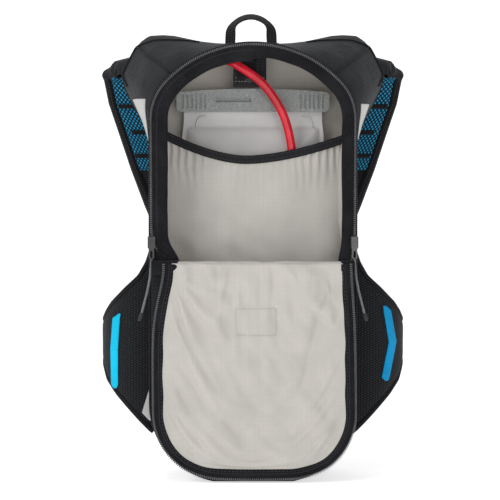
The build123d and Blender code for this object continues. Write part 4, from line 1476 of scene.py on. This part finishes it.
def grid_normals(points):
    """Unit normals of the left yoke's grid, on the side that faces forward, up and out to the left."""
    down = np.gradient(points, axis=0)
    along = np.gradient(points, axis=1)
    normals = np.cross(down, along)
    normals /= np.linalg.norm(normals, axis=2)[..., None]
    flip = np.sign(-normals[..., 1] + 0.5 * normals[..., 2] - 1.2 * normals[..., 0])
    return normals * flip[..., None]


def on_grid(points, route, count, lift=0.0):
    """A path over a grid surface through (u, v) places, lifted off it."""
    route = resample(np.array(route, float), count)
    normals = grid_normals(points)
    return np.array([grid_point(points, u, v) + lift * grid_point(normals, u, v) for u, v in route])


def find_place(points, x, z, rows=32):
    """The (u, v) place on the front part of a grid surface that is nearest to x and z."""
    near = points[:rows]
    gap = (near[..., 0] - x) ** 2 + (near[..., 2] - z) ** 2
    i, j = np.unravel_index(np.argmin(gap), gap.shape)
    return i / (points.shape[0] - 1), j / (points.shape[1] - 1)


def make_yoke(side, sign):
    surface = yoke_surface()
    seams = (
        [(-131, 479.5), (-118, 472), (-103, 461), (-91, 449)],
        [(-131, 479.5), (-139, 464), (-145, 452), (-141, 436)],
        [(-60, 484.5), (-87, 488), (-114, 487.5), (-131, 479.5)],
    )
    shown = mirrored(surface, sign)
    name = f"yoke_{side}"
    order = shown if sign < 0 else shown[:, ::-1]
    panel = sheet_surface(f"{name}_cover", order, SHELL, thick=1.2)
    place(panel, "pack", "shell_fabric", name)
    for index, seam in enumerate(seams):
        stops = [find_place(surface, x, z) for x, z in seam]
        line = on_grid(surface, stops, 46, lift=1.7)
        smooth = smoothed(line)
        # the seams are real raised ridges; their binding-black colour is painted shade, the dark line beside
        # a raised seam
        piece = rod(f"{name}_seam_{index}", mirrored(smooth, sign), 0.95, BINDING)
        place(piece, "pack", "shell_fabric")
        side_line = smooth + np.array([0.0, -0.2, -2.4 if index != 1 else -1.2])
        forward = np.array([[0.0, -1.0, 0.0]] * 46)
        row = stitches(f"{name}_stitch_{index}", mirrored(side_line, sign), forward, THREAD,
                       pitch=3.2, length=2.2, width=0.6, height=0.4)
        place(row, "pack", "shell_fabric")

    # the yoke's outer edge is bound, and so is its lower hem
    outline = resample(np.array(YOKE_LINE[8:]), 60)
    outline = smoothed(outline)
    edge = at_depth(outline, REAR_Y - 13.0)
    across, normals = frames_along(edge, up=(0.35, -1.0, 0.0))[1:]
    if sign > 0:
        edge, across, normals = mirrored(edge, sign), mirrored(across, sign), mirrored(normals, sign)
    bound = sweep(f"{name}_binding", edge, across, normals,
                  lambda i: strap_profile(3.4, 2.4)[::-1 if sign > 0 else 1], BINDING)
    place(bound, "pack", "webbing")
    hem = rod(f"{name}_hem", mirrored(surface[:32, -1], sign), 1.5, BINDING)
    place(hem, "pack", "webbing")

    # reflective patch, bonded to the lower part of the yoke
    outer, high = (-134.0, 421.5) if sign < 0 else (-127.5, 417.0)
    places = ((outer, high), (-117.5, high), (-113.3, 378.0), (-115.5, 376.0))
    corners = [find_place(surface, x, z) for x, z in places]
    normals = grid_normals(surface)
    patch = []
    for t in np.linspace(0, 1, 26):
        left = np.array(corners[0]) * (1 - t) + np.array(corners[3]) * t
        right = np.array(corners[1]) * (1 - t) + np.array(corners[2]) * t
        row = []
        for q in np.linspace(0, 1, 14):
            u, v = left * (1 - q) + right * q
            row.append(grid_point(surface, u, v) + 1.5 * grid_point(normals, u, v))
        patch.append(row)
    shown_patch = mirrored(patch, sign)
    piece = sheet_surface(f"reflective_{side}", shown_patch if sign < 0 else shown_patch[:, ::-1],
                          REFLECTIVE, thick=0.6)
    place(piece, "pack", "reflective", f"reflective_patch_{side}")


both_sides(make_yoke)


# ------------------------------------------------------------------ shoulder straps
STRAP_OUTER = [(482.0, -130.0), (472.0, -150.0), (458.0, -167.0), (418.0, -160.0), (387.0, -150.0),
               (341.0, -135.0), (301.0, -120.0), (270.0, -107.0)]
STRAP_INNER = [(482.0, -86.0), (410.0, -82.0), (360.0, -72.0), (310.0, -60.0), (270.0, -57.0)]


# the folded tape around a strap's edge: inset from the edge, and height over the pad's middle
BINDING_SECTION = ((9.0, 6.6), (4.0, 6.9), (0.8, 6.3), (-0.8, 3.2), (-1.2, 0.0), (-0.8, -3.2), (0.8, -6.6),
                   (4.0, -7.6), (9.0, -7.4), (9.0, -6.0), (3.0, -5.0), (3.0, 5.0), (9.0, 5.6))


def strap_edges(angle):
    """Outer and inner x of the strap at a station."""
    z = strap_point(0, angle, 0)[2]
    outer = np.array(STRAP_OUTER)[::-1]
    inner = np.array(STRAP_INNER)[::-1]
    out = float(np.interp(z, outer[:, 0], outer[:, 1]))
    out *= 1.045
    if angle > 70:
        out = max(out, -174.0 + 16.0 * min(1.0, (angle - 70) / 25.0))
    return out, float(np.interp(z, inner[:, 0], inner[:, 1]))


def strap_on(over, angle, x):
    """A point on the strap's padding, whose outer corner drops where it leaves the shoulder."""
    px, y, z = strap_point(over, angle, x)
    lean = min(1.0, max(0.0, (angle - 5) / 60.0)) * min(1.0, max(0.0, (-128.0 - x) / 38.0))
    return (px, y, z - 10.5 * lean)


def strap_angles(start, end, count):
    """Stations spaced evenly in length around the bend and down the run."""
    dense = np.linspace(start, end, 400)
    points = np.array([strap_point(0, a, 0) for a in dense])
    along = distances(points)
    return np.interp(np.linspace(0, along[-1], count), along, dense)


def strap_layer(name, start, end, count, inset_out, inset_in, low, high, material, sign, crown=0.0,
                columns=26, ends=1.6, ripple=0.0):
    """A closed pad that follows the strap, between two heights over its middle."""
    rings = []
    angles = strap_angles(start, end, count)
    for k, angle in enumerate(angles):
        out, inner = strap_edges(angle)
        out, inner = out + inset_out, inner - inset_in
        middle, half = (out + inner) / 2, (inner - out) / 2
        share = k / (count - 1)
        taper = min(1.0, (1 - abs(2 * share - 1)) * count / 2 / ends + 0.25)
        section = pad_profile(half, 1.0, 0.28, columns)
        ring = []
        for a, b in section:
            over = (low + high) / 2 + b * (high - low) * taper
            bulge = crown * max(0.0, 1 - (a / half) ** 2) * (1 if b > 0 else -1) * taper
            wave = ripple * wrinkle(middle + a, angle * 3, b * 20, 16, 2.0)
            ring.append(strap_on(over + bulge + wave, angle, middle + a))
        rings.append(ring)
    rings = mirrored(np.array(rings), sign)
    if sign > 0:
        rings = rings[:, ::-1]
    rows, size = rings.shape[:2]
    faces = grid_faces(rows, size, wrap=True)
    faces += [tuple(range(size - 1, -1, -1)), tuple((rows - 1) * size + j for j in range(size))]
    along = distances(rings[:, 0])
    first = np.vstack([rings[rows // 2], rings[rows // 2][:1]])
    around = distances(first)[:size]
    uv = np.stack(np.meshgrid(along, around, indexing="ij"), axis=2)
    return build(name, rings.reshape(-1, 3), faces, material, uv.reshape(-1, 2))


def strap_path(start, end, count, inset_out, inset_in, over, sign, from_outer=True):
    line = []
    for angle in strap_angles(start, end, count):
        out, inner = strap_edges(angle)
        line.append(strap_on(over, angle, out + inset_out if from_outer else inner - inset_in))
    return mirrored(np.array(line), sign)


def cross_band(name, z, half_height, over, thick, inset_out, inset_in, material, sign):
    """A band across the strap at a height, on its inner or outer face."""
    angles = np.linspace(strap_angle_at(z + half_height), strap_angle_at(z - half_height), 5)
    return strap_layer(name, angles[0], angles[-1], 6, inset_out, inset_in, over - thick / 2,
                       over + thick / 2, material, sign, ends=0.6)


def strap_angle_at(z):
    if z > strap_point(0, STRAP_JOIN, 0)[2]:
        return math.degrees(math.asin((z - STRAP_BEND[1]) / STRAP_BEND[2]))
    return math.degrees(math.asin((z - STRAP_RUN[1]) / STRAP_RUN[2]))


def make_strap(side, sign):
    body = f"{side}_strap"
    pad = strap_layer(f"strap_{side}_pad", 138, -28, 96, 1.5, 1.5, -5.6, 5.6, SHELL_PLAIN, sign,
                      crown=0.5, columns=32, ends=3.0, ripple=0.5)
    place(pad, body, "pad_fabric", f"strap_pad_{side}")
    mesh_end = strap_angle_at(339.0)
    mesh = strap_layer(f"strap_{side}_mesh", 88, mesh_end, 70, 9.0, 7.0, -8.2, -5.0, BLUE_MESH, sign,
                       crown=0.5, columns=28, ends=2.0)
    place(mesh, body, "blue_mesh", f"strap_mesh_{side}")
    for index, z in enumerate((415.0, 384.0, 356.0)):
        band = cross_band(f"strap_{side}_bar_{index}", z, 2.6, -8.8, 1.6, 10.0 + 5 * (index % 2), 9.0,
                          BINDING, sign)
        place(band, body, "webbing")
    # bound edges: a fold of grosgrain around each side of the pad
    for edge, from_outer in (("outer", True), ("inner", False)):
        stations = strap_angles(137, -27.6, 90)
        rings = []
        for angle in stations:
            out, inner = strap_edges(angle)
            x = out + 0.6 if from_outer else inner - 0.6
            inward = 1.0 if from_outer else -1.0
            ring = []
            for a, b in BINDING_SECTION:
                ring.append(strap_on(b, angle, x + inward * a))
            rings.append(ring)
        rings = mirrored(np.array(rings), sign)
        if (sign > 0) == from_outer:
            rings = rings[:, ::-1]
        rows, size = rings.shape[:2]
        faces = grid_faces(rows, size, wrap=True)
        faces += [tuple(range(size - 1, -1, -1)), tuple((rows - 1) * size + j for j in range(size))]
        along = distances(rings[:, 4])
        uv = np.stack(np.meshgrid(along, np.linspace(0, 30, size), indexing="ij"), axis=2)
        bound = build(f"strap_{side}_{edge}_binding", rings.reshape(-1, 3), faces, BINDING, uv.reshape(-1, 2))
        place(bound, body, "webbing")
    for index, (inset, outer_side) in enumerate(((5.0, True), (5.0, False))):
        path = strap_path(60, -27, 130, inset, inset, -7.7, sign, outer_side)
        row = stitches(f"strap_{side}_stitch_{index}", path, np.array([[0.0, -1.0, 0.0]] * 130), THREAD,
                       pitch=3.4, length=2.4, width=0.7, height=0.4)
        place(row, body, "pad_fabric")

    # the cloth that joins the yoke to the strap over the shoulder
    rows = []
    for angle in strap_angles(150, 84, 22):
        out, inner = strap_edges(angle)
        row = []
        for share in np.linspace(0, 1, 26):
            x = out + 3 + (inner - out - 6) * share
            sag = 0.5 * wrinkle(x, angle, 0, 18, 3.0)
            row.append(strap_on(7.2 + sag, angle, x))
        rows.append(row)
    grid = mirrored(np.array(rows), sign)
    cover = sheet_surface(f"strap_{side}_cover", grid if sign > 0 else grid[:, ::-1], SHELL, thick=1.0)
    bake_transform(cover)


both_sides(make_strap)


def flat_band(name, points, across, half, thick, material, body, slot, *nodes, sign=-1, count=60):
    """Webbing along a smoothed line, with a given across direction."""
    line = resample(np.array(points, float), count)
    line = smoothed(line, 4)
    line = mirrored(line, sign)
    sideways, normals = frames_along(line, across=across)[1:]
    band = sweep(name, line, sideways, normals, lambda i: strap_profile(half, thick), material)
    return place(band, body, slot, *nodes)


def make_strap_webbing(side, sign):
    lock_low, lock_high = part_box(f"ladder_lock_{side}")
    lock_y = (lock_low[1] + lock_high[1]) / 2 / MM
    low = lock_low[2] / MM
    line = [(-82, REAR_Y + 0.6, 15), (-82, REAR_Y + 2, 22), (-82, REAR_Y + 10, 36),
            (-82, lock_y - 2, low - 60), (-82, lock_y, low - 3)]
    flat_band(f"webbing_lower_{side}", line, (1.0, 0.0, 0.0), 12.0, 2.2, WEBBING,
              "pack", "webbing", f"lower_webbing_{side}", sign=sign)
    flat_band(f"webbing_lock_{side}", [(-82, lock_y - 6.0, low + 46), (-82, lock_y - 5.0, low + 32),
              (-82, lock_y - 3.6, low + 24), (-82, lock_y + 3.4, low + 13), (-82, lock_y + 4.4, low + 5),
              (-82, lock_y + 7.0, low - 22), (-82, lock_y + 7.5, low - 52)], (1.0, 0.0, 0.0), 12.0, 2.0,
              WEBBING, f"{side}_strap", "webbing", sign=sign)
    web_low, web_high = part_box(f"sternum_webbing_{side}")
    y = (web_low[1] + web_high[1]) / 2 / MM
    z = (web_low[2] + web_high[2]) / 2 / MM
    line = [(-104, y, z), (-82, y + 0.3, z - 0.6), (-60, y, z - 0.4), (-38, y, z)]
    flat_band(f"sternum_strap_{side}", line, (0.0, 0.0, 1.0), 10.0, 2.2, WEBBING, f"{side}_strap", "webbing",
              f"sternum_webbing_{side}", sign=sign)


both_sides(make_strap_webbing)


# ------------------------------------------------------------------ hip wings
WING_CENTRE = (-116.0, 83.0)
WING_R = 53.5
WING_TOP = [(-172.0, 156.0), (-168.0, 169.0), (-163.0, 180.0), (-156.0, 191.0), (-140.0, 208.0),
            (-125.0, 222.0), (-116.0, 238.0), (-110.0, 256.0), (-104.0, 272.0)]
WING_LOW = [(-172.0, 143.0), (-168.0, 121.0), (-162.0, 102.0), (-150.0, 86.0), (-125.0, 59.0),
            (-112.0, 46.0), (-104.0, 41.0)]
BELT_Z = 148.0


def wing_range(angle):
    """Lowest and highest z of the wing at a plan angle."""
    x = WING_CENTRE[0] + (WING_R + 3.0) * math.cos(math.radians(angle))
    top, low = np.array(WING_TOP) * (1.03, 1.0), np.array(WING_LOW) * (1.03, 1.0)
    if angle >= 184:
        return float(np.interp(x, low[:, 0], low[:, 1])), float(np.interp(x, top[:, 0], top[:, 1]))
    base = wing_range(184)
    share = ((184 - angle) / 34.0) ** 0.8
    return base[0] + (BELT_Z - 17 - base[0]) * share, base[1] + (BELT_Z + 17 - base[1]) * share


def wing_point(angle, z, over):
    turn = math.radians(angle)
    return (WING_CENTRE[0] + (WING_R + over) * math.cos(turn),
            WING_CENTRE[1] + (WING_R + over) * math.sin(turn), z)


def wing_grid(start, end, count, over, trim, rows=30, swell=0.0, seed=0.0, ripple=0.0):
    grid = []
    for angle in np.linspace(start, end, count):
        low, high = wing_range(angle)
        low, high = low + trim, high - trim
        row = []
        for share in np.linspace(0, 1, rows):
            z = low + (high - low) * share
            rise = swell * max(0.0, 1 - abs(2 * share - 1) ** 9)
            ease = min(1.0, (start - angle) / 8 + 0.1, (angle - end) / 8 + 0.1)
            wave = ripple * wrinkle(angle * 0.8, over * 3, z, 18, seed)
            row.append(wing_point(angle, z, over + (rise * ease + wave) * (1 if over >= 0 else -1)))
        grid.append(row)
    return np.array(grid)


def closed_pair(name, outer, inner, material):
    """A closed pad from two matching grids."""
    rows, columns = outer.shape[:2]
    verts = np.vstack([outer.reshape(-1, 3), inner.reshape(-1, 3)])
    offset = rows * columns
    faces = grid_faces(rows, columns)
    faces += [tuple(reversed(f)) for f in grid_faces(rows, columns, offset=offset)]
    rim = ([j for j in range(columns)] + [i * columns + columns - 1 for i in range(1, rows)]
           + [(rows - 1) * columns + j for j in range(columns - 2, -1, -1)]
           + [i * columns for i in range(rows - 2, 0, -1)])
    for k in range(len(rim)):
        a, b = rim[k], rim[(k + 1) % len(rim)]
        faces.append((b, a, a + offset, b + offset))
    along = distances(outer[:, columns // 2])
    uv = np.zeros((rows, columns, 2))
    uv[..., 0] = along[:, None]
    uv[..., 1] = outer[..., 2]
    obj = build(name, verts, faces, material, np.vstack([uv.reshape(-1, 2)] * 2))
    return obj


def wing_face(x, z, over):
    """A point on the front of the wing, under a place in x and z."""
    cosine = (1.035 * x - WING_CENTRE[0]) / (WING_R + 5.0)
    return wing_point(360 - math.degrees(math.acos(max(-1.0, min(1.0, cosine)))), z, over)


def make_sliver():
    """The reflective sliver beside the left wing's root."""
    rows = []
    for z in np.linspace(97, 58, 20):
        left = np.interp(z, [58, 67, 97], [-113.5, -121.8, -112.8])
        right = np.interp(z, [58, 67, 97], [-110.5, -112.5, -111.0])
        rows.append([wing_face(left + (right - left) * share, z, 5.6) for share in np.linspace(0, 1, 6)])
    sliver = sheet_surface("sliver_left", np.array(rows), REFLECTIVE, thick=0.6)
    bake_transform(sliver)


def make_wing(side, sign):
    body = f"{side}_wing"
    flip = (lambda g: mirrored(g, sign) if sign < 0 else mirrored(g, sign)[:, ::-1])
    outer = wing_grid(274, 150.5, 66, 1.6, 1.2, swell=2.8, seed=2.0, ripple=0.5)
    inner = wing_grid(274, 150.5, 66, -1.6, 1.2, swell=2.8, seed=7.0, ripple=0.3)
    pad = closed_pair(f"wing_{side}_pad", flip(outer)[::-1], flip(inner)[::-1], WING_KNIT)
    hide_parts(f"wing_pad_{side}")
    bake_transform(pad)

    # binding all around the free edges
    rim = []
    angles = np.linspace(273, 150.5, 72)
    for angle in angles:
        rim.append(wing_point(angle, wing_range(angle)[1] - 0.6, 0.0))
    low, high = wing_range(150.5)
    for z in np.linspace(high - 3, low + 3, 10):
        rim.append(wing_point(150.0, z, 0.0))
    for angle in angles[::-1]:
        rim.append(wing_point(angle, wing_range(angle)[0] + 0.6, 0.0))
    rim = resample(np.array(rim), 240)
    rim = smoothed(rim)
    radial = rim - np.array([WING_CENTRE[0], WING_CENTRE[1], 0.0])
    radial[:, 2] = 0
    radial = unit(radial)
    tangents = np.gradient(rim, axis=0)
    tangents = unit(tangents)
    across = np.cross(radial, tangents)
    across = unit(across)
    section = pad_profile(3.0, 8.6, 0.6, 18)
    if sign > 0:
        rim, across, radial = mirrored(rim, sign), mirrored(across, sign), mirrored(radial, sign)
        section = section[::-1]
    bound = sweep(f"wing_{side}_binding", rim, across, radial, lambda i: section, BINDING)
    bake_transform(bound)

    # the bonded stripe down the wing's outer face
    rows = []
    high = 179.0 if sign < 0 else 188.0
    stations = [high - 86, high - 82, high - 42, high - 6, high]
    if sign < 0:
        left_edge = (-154.0, -156.5, -157.2, -154.6, -147.0)
        right_edge = (-150.5, -148.6, -148.6, -146.3, -145.3)
    else:
        left_edge = (-149.0, -150.5, -158.5, -152.0, -146.0)
        right_edge = (-146.0, -141.5, -149.5, -143.5, -143.0)
    for z in np.linspace(high, high - 86, 46):
        left = np.interp(z, stations, left_edge)
        right = np.interp(z, stations, right_edge)
        rows.append([wing_face(left + (right - left) * share, z, 5.2) for share in np.linspace(0, 1, 8)])
    grid = mirrored(np.array(rows), sign)
    # the right wing gets the painted-shade copy of the cyan stripe
    stripe = sheet_surface(f"stripe_{side}", grid if sign < 0 else grid[:, ::-1],
                           STRIPE_LEFT if sign < 0 else STRIPE_SHADED, thick=0.8)
    place(stripe, body, "accent_stripe", f"wing_stripe_{side}")
    for index, shift in enumerate((-1, 1)):
        edge = grid[:, 0 if shift < 0 else -1]
        normal = edge - np.array([sign * -WING_CENTRE[0], WING_CENTRE[1], 0.0])
        normal[:, 2] = 0
        line = stitches(f"stripe_{side}_stitch_{index}", edge + np.array([shift * sign * -1.4, 0, 0]), normal,
                        THREAD, pitch=3.2, length=2.2, width=0.6, height=0.4)
        place(line, body, "pad_fabric")

    # a reflective sliver at the root, on the left wing only
    if sign < 0:
        make_sliver()

    web_low, web_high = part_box(f"belt_webbing_{side}")
    y = (web_low[1] + web_high[1]) / 2 / MM
    line = [(-157, y - 1.5, BELT_Z), (-140, y, BELT_Z), (-100, y + 0.8, BELT_Z - 1.5),
            (-60, y, BELT_Z - 0.5), (-43, y, BELT_Z)]
    flat_band(f"belt_strap_{side}", line, (0.0, 0.0, 1.0), 12.5, 2.2, WEBBING, body,
              "webbing", f"belt_webbing_{side}", sign=sign)


both_sides(make_wing)


# ------------------------------------------------------------------ haul loop
def make_haul_loop():
    """Flat webbing whose legs face forward and whose crown turns edge-on."""
    low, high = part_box("haul_loop")
    y = (low[1] + high[1]) / 2 / MM
    foot, crown = low[2] / MM - 4.0, high[2] / MM - 3.0
    half = 23.0
    shift = -2.2
    turns = np.linspace(0, math.pi, 61)
    rise = crown - foot - 12
    line = np.array([(-half * math.cos(t) * (0.82 + 0.18 * abs(math.cos(t))), y,
                      foot + 12 + rise * math.sin(t) ** 0.86) for t in turns])
    line = np.vstack([[(-half - 0.5, y, foot)], [(-half - 0.3, y, foot + 6)], line,
                      [(half + 0.3, y, foot + 6)], [(half + 0.5, y, foot)]])
    line = resample(line, 80)
    line[:, 0] += shift
    line = smoothed(line)
    tangents = np.gradient(line, axis=0)
    tangents = unit(tangents)
    twist = np.clip((line[:, 2] - foot - 8) / 18, 0, 1)
    twist = twist * twist * (3 - 2 * twist)
    sideways = np.cross(tangents, (0.0, -1.0, 0.0))
    depth = np.array([(0.0, -1.0, 0.0)] * len(line))
    angle = twist * math.radians(62)
    across = sideways * np.cos(angle)[:, None] + depth * np.sin(angle)[:, None]
    normals = np.cross(tangents, across)
    ribbon = sweep("haul_ribbon", line, across, normals, lambda i: strap_profile(5.8, 2.2), WEBBING)
    place(ribbon, "haul_loop", "webbing", "haul_loop")


make_haul_loop()


# ------------------------------------------------------------------ hose over the shoulder
def make_hose_bridge():
    """The hose between its port and the strap."""
    points = np.array([(-40.4, 56.0, 460.3), (-40.5, 62.0, 460.0), (-46.0, 76.0, 462.0), (-60.0, 88.0, 472.0),
                       (-80.0, 95.0, 481.5), (-96.0, 98.5, 481.5), strap_point(OVER, 62, -104.0)])
    smooth = []
    for t in np.linspace(0, 1, 60):
        s = t * (len(points) - 1)
        i = min(int(s), len(points) - 2)
        f = s - i
        before, a = points[max(i - 1, 0)], points[i]
        b, after = points[i + 1], points[min(i + 2, len(points) - 1)]
        smooth.append(0.5 * ((2 * a) + (b - before) * f + (2 * before - 5 * a + 4 * b - after) * f * f
                             + (3 * a - before - 3 * b + after) * f ** 3))
    hose = rod("hose_bridge", np.array(smooth), 4.9, HOSE, sides=20)
    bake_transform(hose)


make_hose_bridge()
